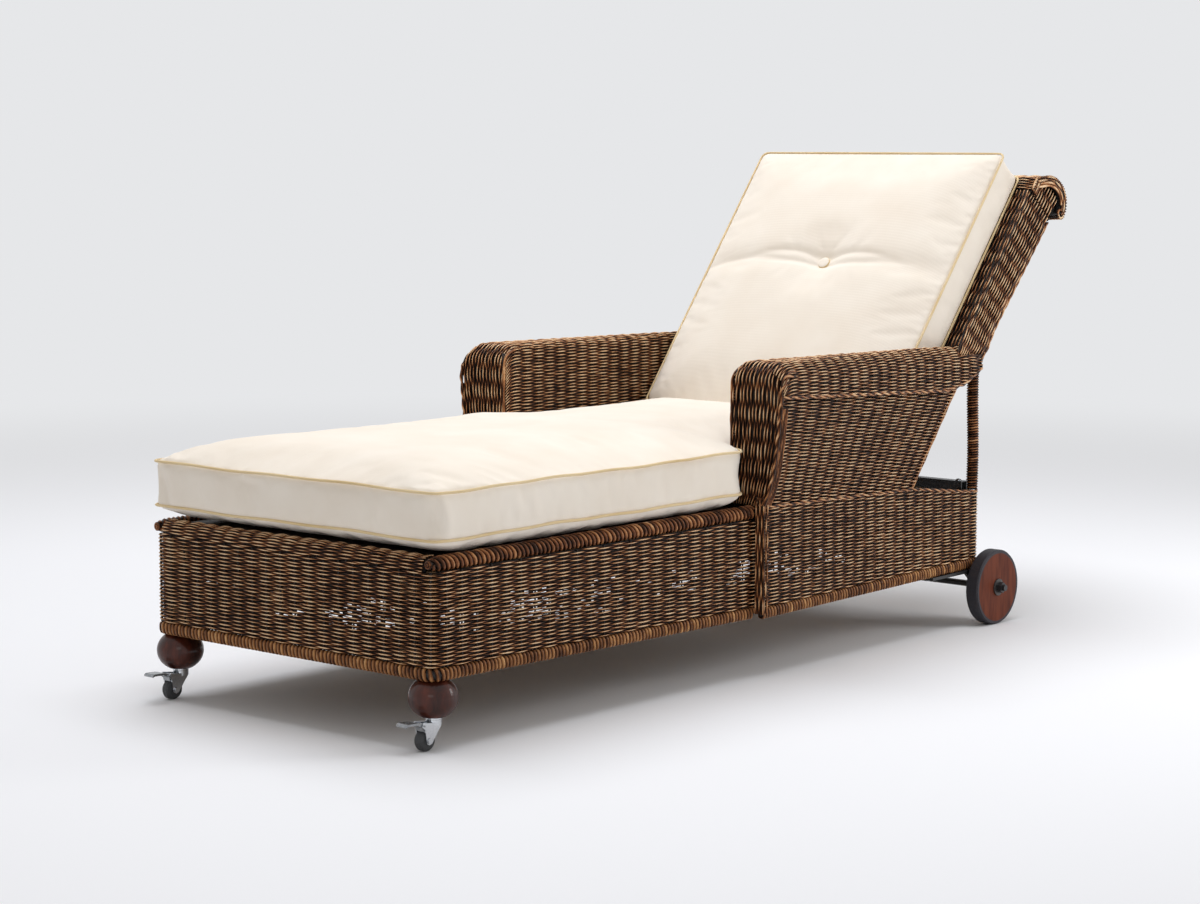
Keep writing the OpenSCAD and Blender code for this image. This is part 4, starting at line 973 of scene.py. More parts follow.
# A stout core fills the arm's rear end; its low lift gives it the dark tone of painted shade
filler = np.array([[334.0, s, level] for s, level in ((1490, 545), (1540, 550), (1579, 550))])
arm.strand(filler, LEFTWARD, 19, 14, 6, lift=0.15)
both_sides(arm, "arm_weave", "arm_front_left", "arm_top_left")

# %% [markdown]
# The arm's inner face has lengthwise rows too, from behind the seat cushion up and over its inner edge.

# %% Inner faces
INNER_LOW, INNER_RUN = 390.0, 670.0
INNER_RISE = TOP_Z - IN_R - INNER_LOW


def arm_inside(u, v):
    s = FOOT_LEN + 6 + u
    angle = np.clip((v - INNER_RISE) / IN_R, 0, math.pi / 2)
    z = (INNER_LOW + np.minimum(v, INNER_RISE) + IN_R * np.sin(angle)
         - (TOP_Z - arm_top(s)) * np.clip(v / INNER_RISE, 0, 1))
    return np.stack([arm_in(s) + IN_R * (1 - np.cos(angle)), s, z], -1)


def inside_keep(u, v, face):
    return face[..., 1] < back_plane(face[..., 2]) + 2


inner = Bundle(18)
weave(inner, arm_inside, INNER_RUN, INNER_RISE + 26, -1, inside_keep)
stakes(inner, arm_inside, INNER_RUN, INNER_RISE + 26, -1, inside_keep)
# A thin dark board behind the inner rows, painted shade
grid = np.array([[[arm_in(s) + 9.2, s, z] for s in np.linspace(FOOT_LEN + 6, back_plane(z) - 1, 12)]
                 for z in np.linspace(DECK + 1, 560, 8)])
inner.slab(grid[:, ::-1], grid[:, ::-1] + [0.8, 0, 0])
over = np.linspace(0, 1.5, 8)
z = np.concatenate([np.linspace(400, 524, 20), 536 + 30 * np.sin(over)])
s = np.concatenate([np.full(20, FOOT_LEN + 4.0), FOOT_LEN + 4 + 38 * (1 - np.cos(over))])
inner.strand(np.stack([arm_in(s) + 3.2, s, z], 1), [-0.7, -0.7, 0.0], 3.0, 3.2, 6)
both_sides(inner, "arm_inner_weave", "arm_inner_left")

# %% [markdown]
# The posts at the head corners are poles with a narrow strand wound round them, one turn every 5 mm.

# %% Rear posts
post = Bundle(19)
z = np.linspace(275, 545, 60)
post_line = np.stack([np.full(60, 322.0), 1578 + 2.2 * np.sin((z - 275) / 43), z], 1)
wrap(post, post_line, LEFTWARD, 12.6, 12.6, 5.3, 2.4, 2.0, lift=0.4)
both_sides(post, "rear_post_wraps", "rear_post_left")

# %% [markdown]
# ## The back
# The rear face is one panel with level rows, bent where the back starts to deepen. The front face shows only
# beside the cushion, so its rows are short ones at both margins, over a plain backing.

# %% Back, rear and front
SIDE_X = 339.0
REAR_HALF, FRONT_HALF = 336, 338
MARGIN_FROM = 250
rear_shape, rear_run = along_path(np.array([[45.0, 30], [47, 255], [80, 379], [106, 730]]))


def back_rear(u, v):
    n, d = rear_shape(v)
    s, z = in_back(n, d)
    return np.stack([u - REAR_HALF, s + 0 * u, z + 0 * u], -1)


rear = Bundle(20)
panel(rear, back_rear, 2.0 * REAR_HALF, rear_run, -1, pitch=3.3, up=60)
settle(rear.make("back_rear_weave", WOVEN), "lounger", "wicker", "back_rear")


def back_front(u, v):
    s, z = in_back(0, v)
    return np.stack([u - FRONT_HALF, s + 0 * u, z + 0 * u], -1)


def front_margin(u, v):
    s, z = in_back(0, MARGIN_FROM + u)
    return np.stack([FRONT_HALF - v, s + 0 * u, z + 0 * u], -1)


front = Bundle(21)
weave(front, front_margin, 478.0, 42.0, 1, pitch=4.2, stake=33.0, r=1.9, wander=0.5, painted_light_scale=0.8)
front.mirror(0)
backing(front, back_front, 2.0 * FRONT_HALF, BACK_LEN - 3, 1, v0=2.0)
settle(front.make("back_front_weave", WOVEN), "lounger", "wicker", "back_front")

# %% [markdown]
# The back's sides are woven the other way: their strands climb the slope and spread as the back deepens.

# %% Back sides
SIDE_FROM, SIDE_UP = 300.0, 430.0


def back_depth(d):
    """The back's thickness, at a distance up its slope."""
    return np.interp(d, [30, 255, 379, 731], [45, 47, 80, 106])


def back_side(u, v):
    """u is the distance up the back from its first strand's start, and v a share of the depth in percent."""
    d = SIDE_FROM + u
    s, z = in_back(v / 100 * back_depth(d), d)
    flare = np.clip((616 - z) / 54, 0, 1) ** 2  # spreads over the arm's end
    return np.stack([SIDE_X + 13 * flare, s - 12 * flare, z], -1)


def above_arm(u, v, face):
    return face[..., 2] > 550


flank = Bundle(22)
weave(flank, back_side, SIDE_UP, 98.0, -1, above_arm,
      pitch=4.7, stake=33.0, swing=2.3, r=2.0, v0=1.0, wander=0.5)
stakes(flank, back_side, SIDE_UP, 98.0, -1, above_arm, stake=33.0, swing=2.3, r=2.0, v0=1.0)
backing(flank, back_side, SIDE_UP, 96.0, -1, v0=2.0, depth=9.0, up=8)
u = np.linspace(0, SIDE_UP - 6, 90)
for k in range(2):
    wave = np.sin(u / 9 + k * math.pi)
    line = back_side(u, np.full(90, 100.0))
    line += np.stack([0.9 * wave - 3.4, 1.8 * np.cos(u / 9 + k * math.pi), 0 * u], 1)
    above = line[:, 2] > 540
    flank.strand(line[above], LEFTWARD, 2.2, 2.4, 6, lift=(0.36 + 0.3 * wave)[above])
# A thick strand 8 mm inside the side near its rear edge, with a low lift that gives it the dark tone of
# painted shade
flank.strand(back_side(u, np.full(90, 93.0)) - 8 * LEFTWARD, LEFTWARD, 7, 6, 6, lift=0.15)
both_sides(flank, "back_side_weave", "back_side_left")

# %% [markdown]
# The scroll over the top is a roll whose strands run lengthwise. On each end, four strands lie side by side
# along its outline and curl in at the lip, and the space inside them is filled like the back's side.

# %% Scroll
SCROLL_HALF = 347.0
foot_sz, heel_sz = np.array(in_back(0, BACK_LEN)), np.array(in_back(106, BACK_LEN))
mid_sz = np.array([heel_sz[0] - 18, foot_sz[1] + 27 - 59])
dome = np.radians(np.arange(90, -21, -6))
lip_mid = np.array([mid_sz[0] + 50, heel_sz[1] + 16])
hook = np.radians(np.linspace(-20, -100, 8))
scroll_shape = np.concatenate([
    [foot_sz, foot_sz + np.array([24 * math.tan(RECLINE), 24])],
    np.stack([mid_sz[0] + 72 * np.cos(dome), mid_sz[1] + 59 * np.sin(dome)], 1),
    np.stack([lip_mid[0] + 16 * np.cos(hook), lip_mid[1] + 16 * np.sin(hook)], 1),
    [heel_sz]])
scroll_path, scroll_run = along_path(scroll_shape)


def scroll_face(u, v):
    s, z = scroll_path(v)
    return np.stack([u - SCROLL_HALF, s + 0 * u, z + 0 * u], -1)


scroll = Bundle(23)
panel(scroll, scroll_face, 2 * SCROLL_HALF, scroll_run, 1, pitch=3.3)


def offset_line(points, inward):
    """An open line moved to its right-hand side by a distance."""
    go = unit(np.gradient(points, axis=0))
    return points + np.stack([go[:, 1], -go[:, 0]], 1) * inward


def inside(points, ring):
    """Which flat points lie inside a closed ring, by counting the edges to one side of them."""
    count = np.zeros(points.shape[:-1], int)
    for p, q in zip(ring, np.roll(ring, -1, 0)):
        crosses = (p[1] > points[..., 1]) != (q[1] > points[..., 1])
        reach = p[0] + (points[..., 1] - p[1]) / (q[1] - p[1] + 1e-9) * (q[0] - p[0])
        count += crosses & (points[..., 0] < reach)
    return count % 2 == 1


curl = np.radians(np.linspace(-100, -290, 9))[:, None]
curl_r = np.linspace(16, 7, 9)[:, None]
curl_line = lip_mid + curl_r * np.concatenate([np.cos(curl), np.sin(curl)], 1)
braid_line = np.concatenate([scroll_shape[:-1], curl_line])
braid_path, braid_run = along_path(braid_line)
t_even = np.arange(0, braid_run, 6.0)
braid_even = np.stack(braid_path(t_even), 1)
BRAID = (3.2, 9.2, 15.2, 21.2)
hollow = np.concatenate([offset_line(scroll_shape[:-9], BRAID[-1] + 1), [lip_mid, heel_sz]])


def end_fill(u, v):
    s, z = in_back(v, BACK_LEN - 16 + u)
    return np.stack([SIDE_X + 0 * u, s, z], -1)


def in_hollow(u, v, face):
    return inside(face[..., 1:], hollow)


first = len(scroll.points)
for k, inward in enumerate(BRAID):
    stop = len(braid_even) - (0, 7, 10, 13)[k]
    ring = offset_line(braid_even, inward)[:stop]
    wave = np.sin(t_even[:stop] / 11 + k * math.pi)
    line = np.column_stack([SCROLL_HALF - 3.4 + 0.7 * wave, ring])
    scroll.strand(line, LEFTWARD, 3.1, 2.6, 6, lift=0.6 + 0.3 * wave)
weave(scroll, end_fill, 90.0, 104.0, -1, in_hollow, pitch=4.9, stake=30.0, swing=2.3, r=2.1, v0=1.0)
# A thin dark disc inside each end of the scroll, painted shade behind the end's rows
loop = heel_sz + (np.concatenate([scroll_shape, scroll_shape[:1]]) - heel_sz) * 0.96
disc = np.stack([np.column_stack([np.full(len(loop), SIDE_X - 9.5), heel_sz + (loop - heel_sz) * k])
                 for k in (1, 0.02)])
scroll.slab(disc[:, ::-1], disc[:, ::-1] - 0.8 * LEFTWARD)
scroll.mirror(first)
settle(scroll.make("back_scroll_weave", WOVEN), "lounger", "wicker", "back_scroll")

# %% [markdown]
# ## Cushions
# Both cushions are boxed: a top and a bottom panel joined by a strip, with piping in both seams. Their shape
# comes in three steps. A crowned shell is drawn from rings, then Blender's Cloth blows it up with its seams
# pinned, as foam and fibre fill would, and last the small puckers that thread makes along a seam are added.

# %% Cushion helpers
def outline(parts, step=12.0):
    """A closed outline at even steps; parts is its right half, from the front middle to the rear middle."""
    half = np.concatenate(parts)
    ring = np.concatenate([half, half[::-1] * [-1, 1], half[:1]])
    run = distances(ring)
    t = np.linspace(0, run[-1], int(run[-1] / step), endpoint=False)
    return np.stack([np.interp(t, run, ring[:, 0]), np.interp(t, run, ring[:, 1])], 1)


def seam_distance(points, ring):
    """Distance of flat points from a closed outline, and the run along it to the nearest place."""
    a, b = ring, np.roll(ring, -1, 0)
    best, where = np.full(len(points), 1e9), np.zeros(len(points))
    run = 0.0
    for p, q in zip(a, b):
        size = np.linalg.norm(q - p)
        t = np.clip(((points - p) @ (q - p)) / size ** 2, 0, 1)
        far = np.linalg.norm(points - p - t[:, None] * (q - p), axis=1)
        near = far < best
        best[near], where[near] = far[near], (run + t * size)[near]
        run += size
    return best, where


def shell(name, rings, low, high):
    """A closed mesh from rings of points between two poles, all in millimetres."""
    count, n = len(rings), len(rings[0])
    points = np.concatenate([[low], np.concatenate(rings), [high]])
    faces = [(1 + j * n + i, 1 + j * n + (i + 1) % n, 1 + (j + 1) * n + (i + 1) % n, 1 + (j + 1) * n + i)
             for j in range(count - 1) for i in range(n)]
    faces += [(0, 1 + (i + 1) % n, 1 + i) for i in range(n)]
    faces += [(1 + count * n, 1 + (count - 1) * n + i, 1 + (count - 1) * n + (i + 1) % n) for i in range(n)]
    mesh = bpy.data.meshes.new(name)
    mesh.from_pydata(place(points).tolist(), [], faces)
    made = bpy.data.objects.new(name, mesh)
    bpy.context.scene.collection.objects.link(made)
    bpy.ops.object.select_all(action="DESELECT")
    bpy.context.view_layer.objects.active = made
    made.select_set(True)
    return made


def remesh(piece, voxel):
    """Turns the shell into even quads, which Cloth needs; voxel is in metres."""
    bpy.context.view_layer.objects.active = piece
    modifier = piece.modifiers.new("remesh", "REMESH")
    modifier.mode = "VOXEL"
    modifier.voxel_size = voxel
    bpy.ops.object.modifier_apply(modifier=modifier.name)
    print(piece.name, "remeshed to", len(piece.data.polygons), "faces")


def read(piece):
    """A mesh's points in the chaise's millimetres."""
    flat = np.empty(len(piece.data.vertices) * 3)
    piece.data.vertices.foreach_get("co", flat)
    return flat.reshape(-1, 3) * 1000 - [0, FOOT_Y * 1000, 0]


def write(piece, points):
    piece.data.vertices.foreach_set("co", place(points).ravel())
    piece.data.update()


def inflate(piece, pinned, pressure, grow, cap):
    """Blows the shell up with Cloth, and caps how far each point moves."""
    before = read(piece)
    group = piece.vertex_groups.new(name="pin")
    group.add([int(i) for i in np.flatnonzero(pinned(before))], 1.0, "REPLACE")
    modifier = piece.modifiers.new("cloth", "CLOTH")
    cloth = modifier.settings
    cloth.quality = 5
    cloth.mass = 0.25
    cloth.tension_stiffness = cloth.compression_stiffness = 12
    cloth.shear_stiffness = 4
    cloth.bending_stiffness = 0.4
    cloth.use_pressure = True
    cloth.uniform_pressure_force = pressure
    cloth.shrink_min = -grow
    cloth.vertex_group_mass = "pin"
    cloth.effector_weights.gravity = 0
    modifier.collision_settings.use_collision = False
    scene = bpy.context.scene
    for frame_number in range(1, 21):
        scene.frame_set(frame_number)
    after = read(piece.evaluated_get(bpy.context.evaluated_depsgraph_get()))
    piece.modifiers.remove(modifier)
    piece.vertex_groups.remove(group)
    scene.frame_set(1)
    step = after - before
    size = np.linalg.norm(step, axis=1, keepdims=True)
    print(piece.name, "swelled by up to", round(float(size.max()), 1), "mm")
    return before, before + step * cap * np.tanh(size / cap) / (size + 1e-9)


def puckers(run, dist, fine, coarse, reach):
    """The small waves that thread makes along a seam; behind it they fade out over reach."""
    waves = np.sin(run / fine + 2.5 * np.sin(run / 47)) + 0.7 * np.sin(run / coarse + 2)
    return waves * np.exp(-np.maximum(dist - 6, 0) / reach) * np.clip(dist / 6, 0, 1)


def smooth(piece):
    for polygon in piece.data.polygons:
        polygon.use_smooth = True
    modifier = piece.modifiers.new("subdivide", "SUBSURF")
    modifier.levels = modifier.render_levels = 1


def piping(name, lines, radius=2.4):
    """A cord in each of a cushion's two seams."""
    bundle = Bundle(31)
    for points in lines:
        bundle.strand(points, unit(points - points.mean(0)), radius, radius, 8, closed=True)
    settle(bundle.make(name, [piping_cloth]), "lounger", "cushion")


# %% [markdown]
# The seat cushion is T-shaped, with ears in front of the arms and a tail between them. Its underside lies
# flat on the deck, and its lower seam hangs a little over it. Its top is high and soft: it rises steeply
# behind the seam and then levels out.

# %% Seat cushion
PIPE_LOW, PIPE_HIGH, SEAT_LOW = 341.3, 418.3, 307.4
SEAT_HALF, SEAT_REAR = 328.0, 1306.0
seat_ring = outline([
    arc_points(SEAT_HALF, 18, 14, -90, 0, 6), arc_points(302, 777, 40, 0, 90, 8),
    [[279, 817], [275, 823]], arc_points(255, SEAT_REAR - 20, 20, 0, 90, 6)])
seat_mid = np.array([0.0, 685.0])


def seam_wave(x, s):
    """How far a seam rises and dips along its way."""
    return np.sin(s / 71 + x / 90) + 0.7 * np.sin(s / 23 - x / 31)


def crown(dist, height, reach):
    """Height of the filling at a distance from the seam."""
    return height * (1 - np.exp(-dist / reach)) * (0.86 + 0.14 * np.clip(dist / 250, 0, 1))


def seat_rings():
    """Rings from the underside, by its lower seam and the boxing, to the top."""
    rings = []
    for share in (0.4, 0.6, 0.75, 0.86, 0.93, 0.97, 0.99):
        rings.append((share, 0, SEAT_LOW + (PIPE_LOW - SEAT_LOW - 4) * share ** 10))
    for part in (0, 0.12, 0.3, 0.5, 0.7, 0.88, 1):
        rings.append((1, -3.0 * math.sin(math.pi * part), PIPE_LOW + part * (PIPE_HIGH - PIPE_LOW)))
    for share in (0.985, 0.965, 0.94, 0.9, 0.84, 0.76, 0.66, 0.54, 0.4, 0.25, 0.1):
        rings.append((share, 0, None))
    made = []
    for share, grow, z in rings:
        v = seat_ring - seat_mid
        flat = seat_mid + v * share + unit(v) * grow
        height = z
        if z is None:
            height = PIPE_HIGH + crown(seam_distance(flat, seat_ring)[0], 43, 54)
        made.append(np.column_stack([flat, np.broadcast_to(height, len(flat))]))
    return made


seat = shell("seat_cushion_cover", seat_rings(), [*seat_mid, SEAT_LOW], [*seat_mid, PIPE_HIGH + 44])
remesh(seat, 0.009)


def seat_pins(points):
    dist = seam_distance(points[:, :2], seat_ring)[0]
    on_seam = (dist < 6) & (np.minimum(abs(points[:, 2] - PIPE_LOW), abs(points[:, 2] - PIPE_HIGH)) < 5)
    return on_seam | (points[:, 2] < SEAT_LOW + 3)


before, points = inflate(seat, seat_pins, 1.2, 0.01, 5)
dist, run = seam_distance(points[:, :2], seat_ring)
z = points[:, 2]
near = np.exp(-np.abs(z - PIPE_HIGH) / 26) + np.exp(-np.abs(z - PIPE_LOW) / 14)
points[:, 2] += seam_wave(points[:, 0], points[:, 1]) * np.clip(near, 0, 1) * (z > SEAT_LOW + 8)
above = before[:, 2] > PIPE_HIGH + 1
points[:, 2] += above * 0.9 * puckers(run, dist, 3.1, 5.3, 18)

# Slanted folds across the boxing: where along the seam, how wide and how deep, with deeper ones at the ears
heading = unit(np.roll(seat_ring, -1, 0) - np.roll(seat_ring, 1, 0))
ring_step = np.linalg.norm(seat_ring[1] - seat_ring[0])
heading = heading[np.round(run / ring_step).astype(int) % len(seat_ring)]
rng = np.random.default_rng(5)
folds = [(at, rng.uniform(8, 15), rng.uniform(-2.6, 2.6)) for at in rng.uniform(0, run.max(), 44)]
for side in (-1, 1):
    _, at_corner = seam_distance(np.array([[side * SEAT_HALF, 4.0]]), seat_ring)
    folds += [(at_corner[0] + side * shift, 8, deep)
              for shift, deep in ((-22, -4.5), (2, 2.5), (24, -4.8), (44, 2.4))]
boxed = np.sin(np.pi * np.clip((z - PIPE_LOW) / (PIPE_HIGH - PIPE_LOW), 0, 1)) ** 0.7 * (dist < 12)
for at, width, deep in folds:
    bulge = 1.4 * deep * boxed * np.exp(-((run - at + 0.25 * (z - PIPE_LOW)) / width) ** 2)
    points[:, 0] += heading[:, 1] * bulge
    points[:, 1] -= heading[:, 0] * bulge

# The tail stays between the arms, and the whole cushion on the deck
arms = arm_in(points[:, 1]) - 2
tail = (np.abs(points[:, 0]) > arms) & (points[:, 1] > FOOT_LEN - 20)
points[tail, 0] = np.sign(points[tail, 0]) * np.minimum(np.abs(points[tail, 0]), arms[tail])
points[:, 2] = np.maximum(points[:, 2], DECK + 0.3)
points[:, 1] = np.clip(points[:, 1], 0, SEAT_REAR)
write(seat, points)
smooth(seat)
seat.data.materials.append(canvas)
settle(seat, "lounger", "cushion", "seat_cushion")
fine_ring = outline([
    arc_points(SEAT_HALF, 18, 14, -90, 0, 10), arc_points(302, 777, 40, 0, 90, 12),
    [[279, 817], [275, 823]], arc_points(255, SEAT_REAR - 20, 20, 0, 90, 8)], step=7)
wave = seam_wave(fine_ring[:, 0], fine_ring[:, 1])
piping("seat_cushion_piping", [np.column_stack([fine_ring, high + wave]) for high in (PIPE_HIGH, PIPE_LOW)])

# %% [markdown]
# The back cushion leans on the back's front face. A button pulls it in at the middle, and a crease runs from
# the button to both sides where the fill gives way.

# %% Back cushion
# Rear seam's distance from the back, the boxing's and the crown's heights, and where the button sits
PAD_REAR, PAD_BOX, PAD_CROWN, TUFT = 5.3, 74.0, 33.0, 460.0
PAD_FRONT = PAD_REAR + PAD_BOX


def on_back(x, d, n):
    """A point x across, d up the back and n in front of it, in the chaise's millimetres."""
    s, z = in_back(-n, d)
    return np.stack([x, s, z], -1)


pad_ring = outline([arc_points(287, 112, 14, -90, 0, 5), arc_points(294, 744, 14, 0, 90, 5)])
pad_mid = np.array([0.0, TUFT])


def tuft(x, d):
    """How deep the button and its crease pull the front in."""
    line = TUFT - 14 * (x / 300) ** 4
    crease = 8 * np.exp(-((d - line) / 24) ** 2) * (1 - np.clip(np.abs(x) / 308, 0, 1) ** 8)
    pull = 13 * np.exp(-(x / 46) ** 2 - ((d - TUFT) / 30) ** 2)
    return crease + pull


pad_rings = []
for share, n in ((0.5, 0.4), (0.9, 0.4), (0.97, 1.5)):
    pad_rings.append(on_back(*(pad_mid + (pad_ring - pad_mid) * share).T, np.full(len(pad_ring), n)))
for part in (0, 0.12, 0.3, 0.5, 0.7, 0.88, 1):
    flat = pad_ring - unit(pad_ring - pad_mid) * 3 * math.sin(math.pi * part)
    pad_rings.append(on_back(*flat.T, np.full(len(flat), PAD_REAR + part * PAD_BOX)))
for share in (0.985, 0.96, 0.92, 0.86, 0.78, 0.68, 0.56, 0.44, 0.32, 0.22, 0.14, 0.07):
    flat = pad_mid + (pad_ring - pad_mid) * share
    dist = seam_distance(flat, pad_ring)[0]
    pad_rings.append(on_back(*flat.T, PAD_FRONT + crown(dist, PAD_CROWN, 42) - tuft(*flat.T)))
pad_low, pad_high = on_back(0, TUFT, 0.4), on_back(0, TUFT, PAD_FRONT + PAD_CROWN - 23)
pad = shell("back_cushion_cover", pad_rings, pad_low, pad_high)
remesh(pad, 0.0075)


def to_back(points):
    """x, d and n of points in the chaise's millimetres."""
    s, z = points[:, 1] - BACK_FOOT, points[:, 2] - DECK
    c, k = math.cos(RECLINE), math.sin(RECLINE)
    return points[:, 0], s * k + z * c, -(s * c - z * k)


def pad_pins(points):
    x, d, n = to_back(points)
    dist = seam_distance(np.stack([x, d], 1), pad_ring)[0]
    on_seam = (dist < 6) & (np.minimum(abs(n - PAD_REAR), abs(n - PAD_FRONT)) < 5)
    return on_seam | (n < 3) | ((n > 40) & (np.hypot(x, d - TUFT) < 12))


before, points = inflate(pad, pad_pins, 0.8, 0.004, 5)
x, d, n = to_back(points)
dist, run = seam_distance(np.stack([x, d], 1), pad_ring)
front_side = to_back(before)[2] > PAD_FRONT + 1
n = n + front_side * 0.8 * puckers(run, dist, 3.3, 5.9, 16)

# Two folds beside the button's crease, two short ones above the button, and one at the crease's right end
upper = TUFT + 20 * np.sin(np.pi * np.clip(0.12 + np.abs(x) / 230, 0, 1))
lower = TUFT - 9 * (1 - np.clip(np.abs(x) / 200, 0, 1))
for fold, deep, width in ((upper, 5.0, 6.5), (lower, 4.5, 6.0)):
    n -= front_side * deep * np.exp(-((d - fold) / width) ** 2) * np.exp(-(x / 165) ** 4)
for lean in (-0.5, 0.6):
    n -= front_side * 1.8 * np.exp(-((x - lean * (d - TUFT)) / 6) ** 2 - ((d - TUFT - 42) / 20) ** 2)
n -= front_side * 3.0 * np.exp(-((d - TUFT + 14 * (x / 300) ** 4) / 7) ** 2) * np.clip((-x - 170) / 60, 0, 1)
n = np.clip(n, 0.3, None)
write(pad, on_back(x, d, n))
smooth(pad)
pad.data.materials.append(canvas)
settle(pad, "lounger", "cushion", "back_cushion")
fine_pad = outline([arc_points(287, 112, 14, -90, 0, 6), arc_points(294, 744, 14, 0, 90, 6)], step=7)
flat_lines = [on_back(*fine_pad.T, np.full(len(fine_pad), n)) for n in (PAD_FRONT, PAD_REAR)]
piping("back_cushion_piping", flat_lines)

# %% [markdown]
# The tuft buttons are metal moulds covered in canvas: shallow domes with a rolled edge, whose side faces take
# the sand piping cloth.

# %% Tuft buttons
def button(name, depth, facing):
    """A button on the cushion's axis, depth in front of the back, turned by facing degrees."""
    bpy.ops.object.select_all(action="DESELECT")
    bpy.ops.mesh.primitive_cylinder_add(vertices=32, radius=0.013, depth=0.005, end_fill_type="NGON")
    made = bpy.context.object
    made.name = made.data.name = name
    bpy.ops.object.mode_set(mode="EDIT")
    bpy.ops.mesh.select_all(action="DESELECT")
    edit = bmesh.from_edit_mesh(made.data)
    for face in edit.faces:
        face.select = face.normal.z > 0.9
    bmesh.update_edit_mesh(made.data)
    for thick, up in ((0.003, 0.0012), (0.004, 0.0006), (0.0035, 0.0003)):
        bpy.ops.mesh.inset(thickness=thick)
        bpy.ops.transform.translate(value=(0, 0, up))
    bpy.ops.object.mode_set(mode="OBJECT")
    bevel = made.modifiers.new("bevel", "BEVEL")
    bevel.width, bevel.segments = 0.0018, 3
    bpy.ops.object.modifier_apply(modifier=bevel.name)
    turned = Matrix.Rotation(RECLINE * -1, 4, "X") @ Matrix.Rotation(math.radians(facing), 4, "X")
    made.data.transform(turned)
    on_axis = turned.to_3x3() @ Vector((0, 0, 1))
    made.data.transform(Matrix.Translation(Vector(place(on_back(0, TUFT, depth)))))
    bpy.ops.object.shade_smooth()
    made.data.materials.append(canvas)
    made.data.materials.append(piping_cloth)
    # The side faces, round the rolled edge, take the sand piping cloth, a darker ring round the button
    for polygon in made.data.polygons:
        polygon.material_index = int(abs(polygon.normal.dot(on_axis)) < 0.8)
    settle(made, "lounger", "cushion", "tuft_buttons")


button("tuft_button_front", PAD_FRONT + PAD_CROWN - 20, 90)
button("tuft_button_rear", 4.0, -90)
print("two tuft buttons")

# %% [markdown]
# ## Feet, casters and wheels
# The CAD pieces of the casters, wheels, axle and brackets already have their real shapes, so they stay and
# only get their finishes.

# %% Finishes for the CAD pieces
for finish_slot, material, names in (
        ("chrome", chrome, ["caster_stems", "caster_fork_left", "caster_fork_right", "caster_axle_left",
                            "caster_axle_right"]),
        ("bright_steel", zinc, ["cross_bar_bolts", "brake_lever_left", "brake_lever_right", "bracket_bolts"]),
        ("bright_steel", dull_zinc, ["axle_washers"]),
        ("black_steel", black_steel, ["cross_bar", "axle_brackets", "axle_nuts", "rear_axle"]),
        ("caster_tread", caster_rubber, ["caster_wheel_left", "caster_wheel_right"]),
        ("ball_foot", walnut, ["ball_feet"]),
        ("wheel_wood", wheel_wood, ["rear_wheel_left", "rear_wheel_right"]),
        ("tyre", tyre_rubber, ["rear_tyre_left", "rear_tyre_right"]),
        ("frame_pole", pole_wood, ["seat_slats", "centre_beam", "side_rail_left", "side_rail_right",
                                   "end_rails", "back_stiles", "back_rails", "corner_posts"]),
        ("wicker", deck_cane, ["deck_weave"])):
    for name in names:
        nodes[name].data.materials.clear()
        nodes[name].data.materials.append(material)
    print(material.name, "on", len(names), "pieces")

# %% [markdown]
# ## Studio
# A pale floor fades into the backdrop's grey, so no horizon shows. A broad soft lamp hangs over the chaise,
# and the world fills the shadows.

# %% Floor, backdrop and lamps
def seen_directly(tree):
    """1 for rays from the camera and for those by which metal and glass mirror the studio, else 0."""
    path = add(tree, "LightPath")
    gloss = add(tree, "Math", {0: path.outputs["Is Glossy Ray"], 1: path.outputs["Is Transmission Ray"]},
                operation="MAXIMUM")
    direct = add(tree, "Math", {0: path.outputs["Is Camera Ray"], 1: gloss.outputs[0]}, operation="MAXIMUM")
    return direct.outputs[0]


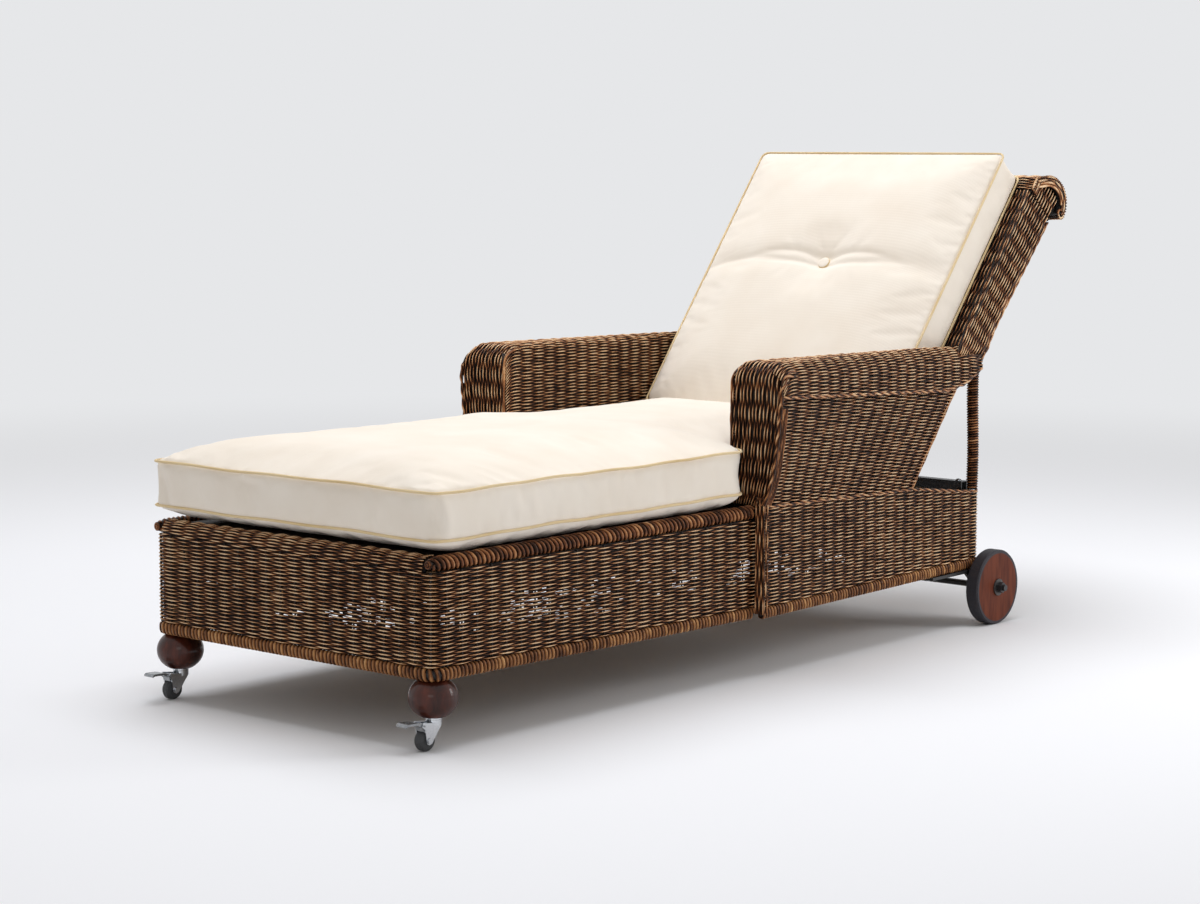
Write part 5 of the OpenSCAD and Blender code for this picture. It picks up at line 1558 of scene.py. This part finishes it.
BACKDROP = paint("#e6e7e9")
world = bpy.data.worlds.new("studio")
bpy.context.scene.world = world
world.use_nodes = True
tree = world.node_tree
tree.nodes.clear()
fill = add(tree, "Background", {"Color": paint("#f6f3ef"), "Strength": 0.45})
backdrop = add(tree, "Background", {"Color": BACKDROP, "Strength": 1.0})
both = add(tree, "MixShader", {0: seen_directly(tree), 1: fill.outputs[0], 2: backdrop.outputs[0]})
add(tree, "OutputWorld", {"Surface": both.outputs[0]})

floor_paint, tree, shader = start("floor_paper", Roughness=0.9, Specular_IOR_Level=0.1,
                                  Base_Color=paint("#f2f3f6"))
spot = add(tree, "TexCoord")
far = add(tree, "VectorMath", {0: spot.outputs["Object"]}, operation="LENGTH")
fade = add(tree, "MapRange", {"Value": far.outputs["Value"], "From Min": 1.6, "From Max": 5.5},
           interpolation_type="SMOOTHSTEP")
glow = add(tree, "Emission", {"Color": BACKDROP, "Strength": 1.0})
share = add(tree, "Math", {0: fade.outputs[0], 1: seen_directly(tree)}, operation="MULTIPLY")
mix = add(tree, "MixShader", {0: share.outputs[0], 1: shader.outputs[0], 2: glow.outputs[0]})
tree.links.new(mix.outputs[0], tree.nodes["Material Output"].inputs["Surface"])

bpy.ops.object.select_all(action="DESELECT")
bpy.ops.mesh.primitive_circle_add(vertices=96, radius=25, fill_type="NGON", location=(0, 0, 0))
floor = bpy.context.object
floor.name = "studio_floor"
floor.data.materials.append(floor_paint)


def lamp(name, size, power, at, target, colour=(1, 1, 1)):
    """A soft box: size in metres, power in watts."""
    data = bpy.data.lights.new(name, "AREA")
    data.color = colour
    data.shape = "RECTANGLE"
    data.size, data.size_y = size
    data.energy = power
    made = bpy.data.objects.new(name, data)
    made.location = at
    made.rotation_euler = (Vector(target) - Vector(at)).to_track_quat("-Z", "Y").to_euler()
    bpy.context.scene.collection.objects.link(made)


lamp("top_softbox", (3.0, 4.2), 144, (-0.5, 0.1, 4.2), (0, 0, 0.3), (0.975, 0.99, 1.03))
lamp("side_softbox", (1.2, 1.2), 23, (2.2, 1.9, 1.3), (0.3, 0.8, 0.8))
lamp("front_softbox", (1.4, 1.0), 5, (1.9, -3.4, 1.5), (0, 0, 0.4))
bpy.context.scene.view_settings.view_transform = "Standard"
print("studio ready")
